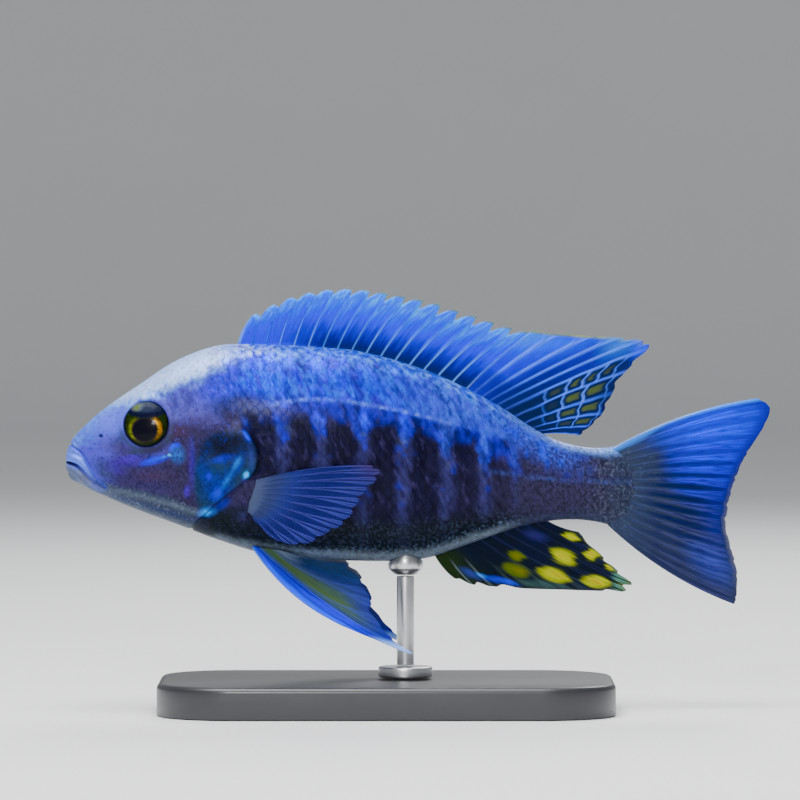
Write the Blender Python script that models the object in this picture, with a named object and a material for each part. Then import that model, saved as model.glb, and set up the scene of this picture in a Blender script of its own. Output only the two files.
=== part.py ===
"""Peacock cichlid: a life-size still model, left flank towards -Y, held by a plain display stand.

Sizes are millimetres and become metres when a mesh is made. X runs from the snout (-65) to the
tip of the tail (+65), Y across the body and Z up. The outlines are given as (x, rise), where rise
is the height above the fish's axis, the level line through the tip of the snout.
"""

import bmesh
import bpy
import numpy as np

MM = 0.001

# The whole fish
TOTAL_LENGTH = 130.0
SNOUT_X = -TOTAL_LENGTH / 2
AXIS_HEIGHT = 46.0
GAP = 0.3
SHARP_ANGLE = 0.7

# The body: back, belly, half width, and the share of the depth that lies under the widest line
BACK = [(SNOUT_X, 0.0), (-64.3, 3.4), (-62.4, 5.8), (-58.7, 9.2), (-51.4, 14.3), (-44.0, 19.0),
        (-36.6, 21.5), (-29.0, 21.7), (-20.0, 21.3), (-11.0, 20.4), (-3.5, 18.5), (3.1, 16.2),
        (9.6, 13.2), (16.2, 9.5), (20.5, 6.6), (24.8, 4.2), (29.4, 2.9), (34.3, 2.6), (41.5, 4.6)]
BELLY = [(SNOUT_X, 0.0), (-64.3, -2.9), (-62.4, -4.1), (-58.7, -5.9), (-51.4, -9.0),
         (-44.0, -11.7), (-36.6, -14.5), (-29.3, -16.7), (-21.9, -17.8), (-12.7, -18.2),
         (-3.5, -18.2), (2.0, -17.6), (7.0, -15.9), (12.9, -13.8), (19.0, -11.8), (24.0, -10.9),
         (30.0, -10.7), (35.0, -11.6), (41.5, -14.6)]
HALF_WIDTH = [(SNOUT_X, 0.0), (-64.3, 1.9), (-62.4, 3.0), (-58.7, 4.3), (-51.4, 6.0),
              (-44.0, 7.3), (-36.6, 8.2), (-29.0, 8.7), (-20.0, 8.8), (-11.0, 8.5), (-3.5, 7.9),
              (5.0, 6.9), (13.0, 5.6), (20.0, 4.3), (26.0, 3.3), (31.0, 2.6), (36.0, 1.9),
              (41.5, 1.3)]
WIDEST_SHARE = [(SNOUT_X, 0.5), (-50.0, 0.49), (-30.0, 0.53), (0.0, 0.52), (41.5, 0.5)]
SECTION_FULLNESS = 0.92
FLESH_END_X = 41.5
FLESH_RINGS = 56
FLESH_SIDES = 36
RING_CROWDING = 1.5

# The mouth, the edge of the muzzle and the gill opening, each from its upper or front end
MOUTH_LINE = [(-67.0, 0.2), (-64.6, -0.1), (-62.7, -0.8), (-60.2, -3.4), (-59.2, -4.1),
              (-57.8, -4.8)]
MUZZLE_LINE = [(-67.0, 5.6), (-63.9, 3.0), (-62.1, 1.7), (-60.5, -0.8), (-58.8, -3.3),
               (-57.1, -4.7)]
JAW_LINE = [(-56.6, -5.5), (-55.4, -7.2), (-53.6, -11.0)]
GILL_OPENING = [(-34.6, 25.0), (-33.9, 14.0), (-32.8, 9.0), (-32.0, 6.0), (-30.2, 3.9),
                (-29.6, 1.8), (-29.7, -0.2), (-30.4, -1.8), (-31.8, -3.0), (-35.5, -6.0),
                (-39.4, -9.4), (-42.6, -12.4), (-45.5, -16.0)]
COVER_TOP_RISE = 6.2
COVER_FOOT_RISE = -9.0
COVER_FRONT = [(-40.8, -8.0), (-41.7, -5.2), (-41.9, -2.0), (-41.5, 1.4), (-40.3, 4.5),
               (-37.9, 6.5), (-35.0, 7.1), (-33.0, 6.7)]
COVER_INNER_Y = 5.0
COVER_RISE = 0.45
LIP_RISE = 0.5
LIP_HALF_WIDTH = 0.95
PEDUNCLE_FRONT_X = 24.0
REGION_Y = 16.0
REGION_RISE = 30.0

# The eyes and nostrils, on the left side
EYE_X = -50.0
EYE_RISE = 7.15
EYE_RADIUS = 4.15
EYE_BULGE = 1.35
EYE_DEPTH = 3.0
EYE_LIFT = 0.1
EYE_STEPS = 20
LINE_STEPS = 3
ORBIT_RISE = 0.3
NOSTRIL_X = -58.2
NOSTRIL_RISE = 5.0
NOSTRIL_RADIUS = 0.5
NOSTRIL_DEPTH = 0.7

# The fins: thickness of the membrane, the rays' ridges, and of the root
MEMBRANE = 0.5
RIDGE = 0.55
FIN_ROOT = 1.3
FIN_TIP = 0.34
RIDGE_FOOT = 0.17

SPINE_COUNT = 17
SPINE_BASE_X = (-33.6, 10.8)
SPINE_TIP_X = (-31.7, 20.6)
DORSAL_EDGE = [(-31.9, 24.8), (-28.7, 27.1), (-25.2, 28.9), (-21.7, 30.3), (-17.7, 31.3),
               (-13.8, 31.8), (-10.0, 31.7), (-5.6, 31.2), (-1.1, 30.4), (3.2, 29.5), (8.7, 27.7),
               (14.7, 25.8), (18.4, 24.6), (21.5, 23.9)]
LAPPET_NOTCH = 0.14
SOFT_DORSAL_BASE_X = (11.2, 21.6)
SOFT_DORSAL_TIPS = [(21.0, 24.3), (26.2, 23.5), (31.6, 23.2), (36.4, 22.9), (40.6, 22.4),
                    (42.4, 21.3), (39.8, 18.4), (37.2, 15.6), (35.4, 12.2), (33.4, 8.4),
                    (29.6, 4.9)]
ANAL_BASE_X = (2.6, 22.6)
ANAL_TIPS = [(6.4, -21.4), (9.8, -22.6), (13.6, -23.0), (20.0, -23.4), (26.4, -23.6),
             (32.6, -23.8), (37.8, -23.9), (39.2, -22.4), (36.2, -19.7), (33.6, -17.2),
             (29.4, -12.9)]
TAIL_BASE = [(37.0, 2.9), (38.3, 0.8), (39.1, -2.0), (39.2, -5.2), (38.5, -8.3), (37.1, -11.3),
             (36.4, -12.2)]
TAIL_EDGE = [(65.0, 11.4), (64.3, 8.4), (63.0, 5.6), (61.4, 3.2), (60.0, 0.8), (58.9, -1.6),
             (58.0, -4.0), (57.3, -6.6), (56.8, -9.2), (56.6, -11.8), (57.2, -14.6), (58.0, -17.2),
             (58.6, -19.8), (58.8, -22.4), (58.7, -24.6), (58.3, -26.4)]
TAIL_BOW = 1.4
TAIL_TURN = 2.0

PECTORAL_ROOT = [(-30.9, -3.4), (-30.7, -9.0)]
PECTORAL_TIPS = [(-8.7, -0.1), (-7.2, -1.2), (-8.0, -3.0), (-9.8, -4.9), (-11.2, -7.0),
                 (-12.4, -9.2), (-14.4, -11.2), (-17.0, -12.6), (-19.8, -14.3), (-23.2, -14.7),
                 (-26.4, -13.8), (-28.6, -11.4)]
PECTORAL_BOW = (0.9, -0.5)
PECTORAL_SINK = 1.4
PECTORAL_SPLAY = 0.30
PELVIC_ROOT = [(-30.6, -15.6), (-25.0, -16.6)]
PELVIC_TIPS = [(-14.0, -29.6), (-1.4, -34.6), (-6.6, -30.2), (-9.2, -24.4), (-11.0, -21.0),
               (-13.6, -18.4)]
PELVIC_BOW = (-1.6, -0.3)
PELVIC_ROOT_Y = 3.4
PELVIC_SPLAY = 0.50

# The display stand
BASE_LENGTH = 84.0
BASE_WIDTH = 50.0
BASE_HEIGHT = 6.0
BASE_CENTRE_X = -6.0
BASE_CORNER = 14.0
BASE_BEVEL = 1.0
ROD_X = -2.5
ROD_RADIUS = 1.6
FOOT_RADIUS = 5.0
FOOT_HEIGHT = 2.0
COLLAR_RADIUS = 3.2
COLLAR_HEIGHT = 2.6

PAINTS = {
    "skin": ((0.13, 0.15, 0.42, 1.0), 0.35, 0.1),
    "gill": ((0.05, 0.22, 0.62, 1.0), 0.3, 0.2),
    "lip": ((0.22, 0.32, 0.62, 1.0), 0.35, 0.0),
    "eye": ((0.02, 0.02, 0.03, 1.0), 0.08, 0.0),
    "dorsal": ((0.03, 0.16, 0.8, 1.0), 0.35, 0.1),
    "anal": ((0.04, 0.05, 0.2, 1.0), 0.35, 0.1),
    "tail": ((0.04, 0.2, 0.75, 1.0), 0.35, 0.1),
    "paired": ((0.1, 0.2, 0.5, 1.0), 0.35, 0.0),
    "base": ((0.03, 0.03, 0.035, 1.0), 0.45, 0.0),
    "steel": ((0.6, 0.6, 0.62, 1.0), 0.3, 1.0),
}


def clear_scene():
    """Remove what a new file holds."""
    for thing in list(bpy.data.objects):
        bpy.data.objects.remove(thing)


def paint(name):
    """The Principled material of one kind of surface."""
    if name in bpy.data.materials:
        return bpy.data.materials[name]
    colour, roughness, metallic = PAINTS[name]
    material = bpy.data.materials.new(name)
    material.use_nodes = True
    shader = material.node_tree.nodes["Principled BSDF"]
    shader.inputs["Base Color"].default_value = colour
    shader.inputs["Roughness"].default_value = roughness
    shader.inputs["Metallic"].default_value = metallic
    material.diffuse_color = colour
    return material


def smooth(points, at):
    """A smooth curve through points, whose first column is the parameter, read at many places."""
    table = np.array(points, float)
    knots, values = table[:, 0], table[:, 1:]
    slopes = np.gradient(values, knots, axis=0)
    span = np.clip(np.searchsorted(knots, at) - 1, 0, len(knots) - 2)
    width = (knots[span + 1] - knots[span])[..., None]
    t = (np.asarray(at)[..., None] - knots[span][..., None]) / width
    start, end = values[span], values[span + 1]
    ease = t * t * (3 - 2 * t)
    lead = t * (1 - t) * width * ((1 - t) * slopes[span] - t * slopes[span + 1])
    return start + (end - start) * ease + lead


def numbered(points):
    """The same points, each led by its number."""
    return [(number, *point) for number, point in enumerate(points)]


def profile(points, x):
    """A body profile at x, rounded at the snout by running on the root of the distance."""
    rooted = [(np.sqrt(px - SNOUT_X), value) for px, value in points]
    return smooth(rooted, np.sqrt(np.maximum(x - SNOUT_X, 0.0)))[..., 0]


def refined(line):
    """A line's points with more between them, on a smooth curve."""
    count = (len(line) - 1) * LINE_STEPS + 1
    return [tuple(point) for point in smooth(numbered(line), np.linspace(0, len(line) - 1, count))]


def near_line(line, x, rise):
    """The signed distance of points from a broken line: more than 0 on its right hand."""
    best = np.full(np.shape(x), 1e9)
    signed = best.copy()
    for (x0, r0), (x1, r1) in zip(line[:-1], line[1:]):
        along = np.array([x1 - x0, r1 - r0])
        length = np.hypot(*along)
        part = np.clip(((x - x0) * along[0] + (rise - r0) * along[1]) / length**2, 0, 1)
        dx, dr = x - x0 - part * along[0], rise - r0 - part * along[1]
        distance = np.hypot(dx, dr)
        side = np.sign(along[1] * dx - along[0] * dr)
        closer = distance < best
        signed = np.where(closer, distance * side, signed)
        best = np.where(closer, distance, best)
    return signed


def bump(distance, width):
    """1 at no distance, falling smoothly to 0 at the width."""
    return np.clip(1 - (distance / width) ** 2, 0, 1) ** 2


def step(value, start, end):
    """0 before start, 1 after end, smooth between."""
    t = np.clip((value - start) / (end - start), 0, 1)
    return t * t * (3 - 2 * t)


def relief(x, rise):
    """How far the lips, the rim of the orbit and the gill cover stand out from the flank."""
    from_mouth = near_line(MOUTH_LINE, x, rise)
    fade = step(x, -57.4, -58.6)
    lips = LIP_RISE * bump(np.abs(from_mouth) - LIP_HALF_WIDTH, LIP_HALF_WIDTH) * fade
    from_eye = np.hypot(x - EYE_X, rise - EYE_RISE)
    orbit = ORBIT_RISE * bump(from_eye - EYE_RADIUS - 0.3, 1.4)
    from_opening = near_line(GILL_OPENING, x, rise)
    inside = step(from_opening, -0.6, 0.3) * step(from_opening, 9.5, 3.0)
    cover = COVER_RISE * inside * step(rise, 9.0, 6.0) * step(rise, -13.0, -9.0)
    return lips + orbit + cover


def flank(x, angle, grown=0.0):
    """Points of the body's surface: x, and the angle up from the widest line, in radians."""
    back, belly, half = profile(BACK, x), profile(BELLY, x), profile(HALF_WIDTH, x)
    middle = belly + (back - belly) * profile(WIDEST_SHARE, x)
    reach = np.where(np.sin(angle) > 0, back - middle, middle - belly)
    rise = middle + reach * np.sin(angle)
    across = half * np.abs(np.cos(angle)) ** SECTION_FULLNESS
    out = relief(x, rise) * step(np.abs(np.cos(angle)), 0.0, 0.35) + grown
    lift = np.sin(angle) * half / np.maximum(np.hypot(half, reach), 1e-6)
    return rise + out * lift, across + out * np.sqrt(1 - lift**2)


def faces_outward(points, faces):
    """The triangles turned so that the solid's volume is positive."""
    a, b, c = (points[faces[:, k]] for k in range(3))
    volume = np.einsum("ij,ij->", a, np.cross(b, c))
    return faces if volume > 0 else faces[:, ::-1]


def solid(name, points, faces, finish):
    """An object from millimetre points and triangles, its rises turned into heights."""
    faces = faces_outward(points, np.array(faces))
    mesh = bpy.data.meshes.new(name)
    placed = (points + np.array([0.0, 0.0, AXIS_HEIGHT])) * MM
    mesh.from_pydata(placed.tolist(), [], faces.tolist())
    mesh.materials.append(paint(finish))
    mesh.shade_smooth()
    thing = bpy.data.objects.new(name, mesh)
    bpy.context.collection.objects.link(thing)
    return thing


def quads(rows, columns, wrap=False):
    """Index quads of a grid, with the last column joined to the first where it wraps."""
    last = columns if wrap else columns - 1
    row, column = np.meshgrid(np.arange(rows - 1), np.arange(last), indexing="ij")
    beside = (column + 1) % columns
    corner = row * columns
    below = corner + columns
    return np.stack([corner + column, corner + beside, below + beside, below + column], -1)


def halved(grid):
    """Two triangles for each quad, all on the same diagonal."""
    grid = grid.reshape(-1, 4)
    return np.concatenate([grid[:, [0, 1, 2]], grid[:, [0, 2, 3]]])


def flesh(name, grown=0.0):
    """The whole body as one closed solid, from the snout to inside the tail fin's root."""
    share = np.arange(1, FLESH_RINGS + 1) / FLESH_RINGS
    x = SNOUT_X + (FLESH_END_X - SNOUT_X) * share**RING_CROWDING
    angle = np.linspace(0, 2 * np.pi, FLESH_SIDES, endpoint=False)
    ring_x, ring_angle = np.meshgrid(x, angle, indexing="ij")
    rise, across = flank(ring_x, ring_angle, grown)
    side = np.where(np.isclose(np.cos(ring_angle), 0.0, atol=1e-6), 0.0, np.sign(np.cos(ring_angle)))
    shell = np.stack([ring_x, across * side, rise], -1).reshape(-1, 3)
    tip = [[SNOUT_X - grown, 0.0, 0.0]]
    rear = [[FLESH_END_X, 0.0, float(np.mean(rise[-1]))]]
    points = np.concatenate([shell, tip, rear])
    beside = (np.arange(FLESH_SIDES) + 1) % FLESH_SIDES
    ring = np.arange(FLESH_SIDES)
    last = (FLESH_RINGS - 1) * FLESH_SIDES
    front_fan = np.stack([beside, ring, np.full(FLESH_SIDES, len(shell))], -1)
    rear_fan = np.stack([last + ring, last + beside, np.full(FLESH_SIDES, len(shell) + 1)], -1)
    faces = np.concatenate([halved(quads(FLESH_RINGS, FLESH_SIDES, True)), front_fan, rear_fan])
    return solid(name, points, faces, "skin")


def prism(name, outline, y_from=-REGION_Y, y_to=REGION_Y):
    """An outline in x and rise, carried across the body from one y to another."""
    mesh = bpy.data.meshes.new(name)
    thing = bpy.data.objects.new(name, mesh)
    bpy.context.collection.objects.link(thing)
    work = bmesh.new()
    ring = [work.verts.new((x * MM, y_from * MM, (r + AXIS_HEIGHT) * MM)) for x, r in outline]
    face = work.faces.new(ring)
    moved = bmesh.ops.extrude_face_region(work, geom=[face])["geom"]
    shift = (0.0, (y_to - y_from) * MM, 0.0)
    corners = [part for part in moved if isinstance(part, bmesh.types.BMVert)]
    bmesh.ops.translate(work, vec=shift, verts=corners)
    bmesh.ops.recalc_face_normals(work, faces=work.faces)
    work.to_mesh(mesh)
    work.free()
    return thing


def combine(target, operation, others):
    """Apply one Boolean of the target with all the others, which are then removed."""
    group = bpy.data.collections.new("operands")
    for other in others:
        group.objects.link(other)
    modifier = target.modifiers.new(operation.title(), "BOOLEAN")
    modifier.operation = operation
    modifier.operand_type = "COLLECTION"
    modifier.collection = group
    result = target.evaluated_get(bpy.context.evaluated_depsgraph_get())
    mesh = bpy.data.meshes.new_from_object(result)
    target.modifiers.clear()
    target.data = mesh
    for other in others:
        bpy.data.objects.remove(other)
    bpy.data.collections.remove(group)
    return keep_largest(target)


def keep_largest(target):
    """Drop every closed surface of the mesh but the one of greatest extent."""
    work = bmesh.new()
    work.from_mesh(target.data)
    bmesh.ops.triangulate(work, faces=work.faces)
    islands, left = [], set(work.verts)
    while left:
        island, edge = set(), [left.pop()]
        while edge:
            vert = edge.pop()
            island.add(vert)
            beside = {link.other_vert(vert) for link in vert.link_edges} & left
            left -= beside
            edge.extend(beside)
        islands.append(island)
    largest = max(islands, key=len)
    scraps = [vert for vert in work.verts if vert not in largest]
    bmesh.ops.delete(work, geom=scraps, context="VERTS")
    work.to_mesh(target.data)
    work.free()
    target.data.shade_smooth()
    target.data.set_sharp_from_angle(angle=SHARP_ANGLE)
    return target


def mirrored(thing, name):
    """The same form on the other side of the fish."""
    mesh = thing.data.copy()
    mesh.name = name
    work = bmesh.new()
    work.from_mesh(mesh)
    for vert in work.verts:
        vert.co.y = -vert.co.y
    bmesh.ops.reverse_faces(work, faces=work.faces)
    work.to_mesh(mesh)
    work.free()
    bpy.context.collection.objects.link(bpy.data.objects.new(name, mesh))


def shifted(line, distance):
    """The broken line moved sideways: more than 0 to its right hand, going along it."""
    points = np.array(refined(line), float)
    along = np.gradient(points, axis=0)
    along /= np.linalg.norm(along, axis=1)[:, None]
    right = np.stack([along[:, 1], -along[:, 0]], -1)
    return [tuple(point) for point in points + right * distance]


def body_part(name, outline, finish="skin"):
    """The stretch of the body inside an outline."""
    thing = flesh(name)
    combine(thing, "INTERSECT", [prism("region", outline)])
    thing.data.materials.clear()
    thing.data.materials.append(paint(finish))
    return thing


def cover_rear(distance):
    """The gill opening beside the cover, moved sideways."""
    line = shifted(GILL_OPENING, distance)
    return [point for point in line if COVER_FOOT_RISE < point[1] < COVER_TOP_RISE]


def make_gill_covers():
    """The gill covers: plates of the cheek behind the eye, free along their rear edge."""
    outline = cover_rear(GAP / 2) + refined(COVER_FRONT)
    cover = flesh("gill_cover_left")
    combine(cover, "INTERSECT", [prism("region", outline, -REGION_Y, -COVER_INNER_Y)])
    cover.data.materials.clear()
    cover.data.materials.append(paint("gill"))
    mirrored(cover, "gill_cover_right")


def gill_pocket(side):
    """The room in the head for one gill cover, a gap wider than the plate."""
    outline = cover_rear(-2 * GAP) + shifted(COVER_FRONT, -GAP)
    reach = sorted((side * (COVER_INNER_Y - GAP), side * REGION_Y))
    return prism("pocket", outline, *reach)


def eye_frame(side):
    """The middle of one eye's rim and the directions out of it, forward along it, and up."""
    rise_of = np.linspace(-1.2, 1.2, 241)
    rise, across = flank(np.full(rise_of.shape, EYE_X), rise_of)
    y = np.interp(EYE_RISE, rise, across - ORBIT_RISE)
    out = np.array([-0.17, side, 0.17])
    out /= np.linalg.norm(out)
    ahead = np.cross([0.0, 0.0, 1.0], out)
    ahead /= np.linalg.norm(ahead)
    centre = np.array([EYE_X, side * y, EYE_RISE]) + out * EYE_LIFT
    return centre, out, ahead, np.cross(out, ahead)


def eyeball(name, side, grown=0.0):
    """One eye: a shallow domed front and a deeper round back, turned about its axis."""
    centre, out, ahead, up = eye_frame(side)
    dome = np.linspace(0, np.pi / 2, 5)[1:]
    bowl = np.linspace(np.pi / 2, np.pi, 5)[1:-1]
    angle = np.concatenate([dome, bowl])
    depth = np.where(angle <= np.pi / 2, EYE_BULGE + grown, EYE_DEPTH + grown) * np.cos(angle)
    radius = (EYE_RADIUS + grown) * np.sin(angle)
    turn = np.linspace(0, 2 * np.pi, EYE_STEPS, endpoint=False)
    ring = ahead * np.cos(turn)[:, None] + up * np.sin(turn)[:, None]
    shell = centre + out * depth[:, None, None] + ring * radius[:, None, None]
    poles = [centre + out * (EYE_BULGE + grown), centre - out * (EYE_DEPTH + grown)]
    points = np.concatenate([shell.reshape(-1, 3), poles])
    step_round = np.arange(EYE_STEPS)
    beside = (step_round + 1) % EYE_STEPS
    last = (len(angle) - 1) * EYE_STEPS
    top = np.stack([beside, step_round, np.full(EYE_STEPS, len(points) - 2)], -1)
    bottom = np.stack([last + step_round, last + beside, np.full(EYE_STEPS, len(points) - 1)], -1)
    faces = np.concatenate([halved(quads(len(angle), EYE_STEPS, True)), top, bottom])
    return solid(name, points, faces, "eye")


def nostril(side):
    """The cutter of one nostril: a short round pit."""
    bpy.ops.mesh.primitive_cone_add(vertices=10, radius1=NOSTRIL_RADIUS * MM,
                                    radius2=NOSTRIL_RADIUS * MM * 0.6, depth=2 * NOSTRIL_DEPTH * MM)
    cutter = bpy.context.object
    rise_of = np.linspace(-1.4, 1.4, 281)
    rise, across = flank(np.full(rise_of.shape, NOSTRIL_X), rise_of)
    y = side * np.interp(NOSTRIL_RISE, rise, across)
    cutter.location = (NOSTRIL_X * MM, y * MM, (NOSTRIL_RISE + AXIS_HEIGHT) * MM)
    cutter.rotation_euler = (side * 1.1, 0.0, 0.35 * side)
    return cutter


def make_head():
    """The head without its jaws and gill covers, with eye sockets and nostrils."""
    front = shifted(MUZZLE_LINE, -GAP / 2) + shifted(JAW_LINE, -GAP / 2)
    rear = shifted(GILL_OPENING, GAP / 2)
    floor = [(front[-1][0], -REGION_RISE), (rear[-1][0], -REGION_RISE)]
    roof = [(rear[0][0], REGION_RISE), (front[0][0], REGION_RISE)]
    head = body_part("head", front + floor + rear[::-1] + roof)
    cutters = [nostril(side) for side in (-1, 1)]
    cutters += [eyeball("socket", side, GAP) for side in (-1, 1)]
    cutters += [gill_pocket(side) for side in (-1, 1)]
    for cutter in cutters:
        combine(head, "DIFFERENCE", [cutter])


def make_jaws():
    """The upper jaw above the line of the mouth, and the lower jaw under it."""
    mouth_top = shifted(MOUTH_LINE, -GAP / 2)
    mouth_bottom = shifted(MOUTH_LINE, GAP / 2)
    muzzle = shifted(MUZZLE_LINE, GAP / 2)
    jaw = shifted(JAW_LINE, GAP / 2)
    body_part("jaw_upper", muzzle[:-1] + mouth_top[::-1], "lip")
    below = [(jaw[-1][0], -REGION_RISE), (mouth_bottom[0][0], -REGION_RISE)]
    body_part("jaw_lower", mouth_bottom + jaw + below, "lip")


def make_trunk():
    """The torso from the gill opening back, and the tail stalk up to the tail fin's root."""
    opening = shifted(GILL_OPENING, -GAP / 2)
    cut = PEDUNCLE_FRONT_X
    rear = [(cut - GAP / 2, -REGION_RISE), (cut - GAP / 2, REGION_RISE)]
    low, high = (opening[-1][0], -REGION_RISE), (opening[0][0], REGION_RISE)
    body_part("torso", opening + [low] + rear + [high])
    root = [tuple(point) for point in smooth(numbered(TAIL_BASE), np.linspace(0, 6, 13))]
    above = [(cut + GAP / 2, REGION_RISE), (root[0][0] - 1.0, REGION_RISE)]
    below = [(root[-1][0] - 1.0, -REGION_RISE), (cut + GAP / 2, -REGION_RISE)]
    body_part("tail_stalk", above + root + below)


def ray_columns(count):
    """The places across a fin, in ray numbers: each ray's crest, its two feet, and mid membrane."""
    offsets = np.array([-RIDGE_FOOT, 0.0, RIDGE_FOOT, 0.5])
    places = (np.arange(count)[:, None] + offsets).ravel()
    return places[(places >= 0) & (places <= count - 1)]


def crest(place):
    """1 on a ray and 0 from its feet outward."""
    return np.clip(1 - np.abs(place - np.round(place)) / RIDGE_FOOT, 0, 1)


def ray_thickness(place, out, root=FIN_ROOT):
    """The fin's thickness across and along its rays, from the thick root to the thin edge."""
    blade = MEMBRANE + RIDGE * crest(place) * (1 - 0.5 * out)
    thick = blade + (root - blade) * step(out, 0.16, 0.0)
    return thick + (FIN_TIP - thick) * step(out, 0.86, 1.0)


def plate(name, middle, thickness, finish):
    """A closed solid: a grid of middle points thickened both ways, its faces split alike."""
    rows, columns = middle.shape[:2]
    normal = np.cross(np.gradient(middle, axis=0), np.gradient(middle, axis=1))
    normal /= np.linalg.norm(normal, axis=-1)[..., None]
    half = normal * thickness[..., None] / 2
    points = np.concatenate([(middle + half).reshape(-1, 3), (middle - half).reshape(-1, 3)])
    upper = quads(rows, columns)
    under = upper[..., ::-1] + rows * columns
    grid = np.arange(rows * columns).reshape(rows, columns)
    rim = np.concatenate([grid[0, :-1], grid[:-1, -1], grid[-1, :0:-1], grid[:0:-1, 0]])
    ahead = np.roll(rim, -1)
    wall = np.stack([ahead, rim, rim + rows * columns, ahead + rows * columns], -1)
    under = np.roll(under, -1, axis=-1)
    faces = np.concatenate([halved(upper), halved(under), halved(wall)])
    return solid(name, points, faces, finish)


def fan(place, out, roots, tips, bow, reach=1.0):
    """Points in x and rise along rays from their roots to their tips, bowed aside between."""
    along = (tips - roots)[:, None]
    aside = np.stack([-along[..., 1], along[..., 0]], -1)
    aside /= np.linalg.norm(aside, axis=-1)[..., None]
    share = (out[None] * np.broadcast_to(reach, place.shape)[:, None])[..., None]
    return roots[:, None] + along * share + aside * np.asarray(bow)[..., None, None] * 4 * share * (1 - share)


def median_fin(name, place, roots, tips, bow, reach, sway, finish, root=FIN_ROOT):
    """A fin in the fish's middle plane, with its outer part swayed a little to one side."""
    out = np.array([0.0, 0.14, 0.45, 0.8, 1.0])
    flat = fan(place, out, roots, tips, bow, reach)
    y = np.asarray(sway)[..., None] * out[None] ** 2 * np.ones((len(place), 1))
    middle = np.stack([flat[..., 0], y, flat[..., 1]], -1)
    thickness = ray_thickness(place[:, None], out[None], root)
    return plate(name, middle, thickness, finish)


def back_root(x):
    """Points a gap above the back."""
    return np.stack([x, profile(BACK, x) + GAP], -1)


def belly_root(x):
    """Points a gap below the belly."""
    return np.stack([x, profile(BELLY, x) - GAP], -1)


def make_spiny_dorsal():
    """The front of the dorsal fin: spines that lean back, each with a rounded free lappet."""
    last = SPINE_COUNT - 1
    place = ray_columns(SPINE_COUNT)
    roots = back_root(np.interp(place, (0, last), SPINE_BASE_X))
    tip_x = np.interp(place, (0, last), SPINE_TIP_X)
    tips = np.stack([tip_x, smooth(DORSAL_EDGE, tip_x)[:, 0]], -1)
    behind = place - np.floor(place + 1e-9)
    lobe = step(behind, 0.0, 0.3) * step(behind, 1.0, 0.84)
    reach = 1 - LAPPET_NOTCH * (1 - lobe)
    median_fin("dorsal_fin_spiny", place, roots, tips, 0.5, reach, 0.0 * place, "dorsal")


def make_soft_dorsal():
    """The rear of the dorsal fin: branched soft rays drawn out to a point."""
    place = ray_columns(len(SOFT_DORSAL_TIPS))
    last = len(SOFT_DORSAL_TIPS) - 1
    roots = back_root(np.interp(place, (0, last), SOFT_DORSAL_BASE_X))
    tips = smooth(numbered(SOFT_DORSAL_TIPS), place)
    bow = np.interp(place, (0, last), (0.5, 0.3))
    sway = 1.0 * np.sin(place / last * np.pi)
    median_fin("dorsal_fin_soft", place, roots, tips, bow, 1.0, sway, "dorsal")


def make_anal_fin():
    """The anal fin: three spines and eight soft rays under the tail."""
    place = ray_columns(len(ANAL_TIPS))
    last = len(ANAL_TIPS) - 1
    roots = belly_root(np.interp(place, (0, last), ANAL_BASE_X))
    tips = smooth(numbered(ANAL_TIPS), place)
    sway = 0.8 * np.sin(place / last * np.pi)
    median_fin("anal_fin", place, roots, tips, -0.4, 1.0, sway, "anal")


def make_tail_fin():
    """The tail fin: rays fanned from the rounded end of the tail stalk, its rear edge hollow."""
    count = len(TAIL_EDGE)
    last = count - 1
    place = ray_columns(count)
    base = smooth(numbered(TAIL_BASE), place / last * (len(TAIL_BASE) - 1))
    roots = base + np.array([GAP, 0.0])
    tips = smooth(numbered(TAIL_EDGE), place)
    bow = TAIL_BOW * np.interp(place, (0, last), (1, -1))
    sway = np.interp(place, (0, 0.45 * last, last), (-0.6, 0.0, TAIL_TURN))
    median_fin("tail_fin", place, roots, tips, bow, 1.0, sway, "tail", root=2.4)


def paired_fins(name, root, tips, bow, y_of):
    """A left fin, sunk into the body and then cut clear of it, and its twin on the right."""
    count = len(tips)
    place = ray_columns(count)
    out = np.array([0.0, 0.14, 0.4, 0.72, 1.0])
    ends = np.array(root, float)
    roots = ends[0] + (ends[1] - ends[0]) * (place / (count - 1))[:, None]
    edge = smooth(numbered(tips), place)
    flat = fan(place, out, roots, edge, np.interp(place, (0, count - 1), bow))
    y = -y_of(place[:, None] / (count - 1), out[None], flat)
    middle = np.stack([flat[..., 0], y, flat[..., 1]], -1)
    left = plate(name + "_left", middle, ray_thickness(place[:, None], out[None]), "paired")
    combine(left, "DIFFERENCE", [flesh("clear", GAP)])
    mirrored(left, name + "_right")


def pectoral_y(across, out, flat):
    """The pectoral fin's distance from the middle plane: it swings out from the flank."""
    root_x = PECTORAL_ROOT[0][0]
    distance = flat[..., 0] - root_x
    camber = 0.9 * np.sin(np.pi * across) * out
    return 8.0 - PECTORAL_SINK + PECTORAL_SPLAY * distance + camber + 1.1 * step(out, 0.0, 0.12)


def pelvic_y(across, out, flat):
    """The pelvic fin's distance from the middle plane: it spreads as it hangs down."""
    drop = PELVIC_ROOT[0][1] - flat[..., 1]
    camber = 1.0 * np.sin(np.pi * across) * out
    return PELVIC_ROOT_Y + PELVIC_SPLAY * drop + camber


def make_paired_fins():
    """The pectoral fins behind the gill covers and the pelvic fins under the chest."""
    paired_fins("pectoral_fin", PECTORAL_ROOT, PECTORAL_TIPS, PECTORAL_BOW, pectoral_y)
    paired_fins("pelvic_fin", PELVIC_ROOT, PELVIC_TIPS, PELVIC_BOW, pelvic_y)


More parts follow.
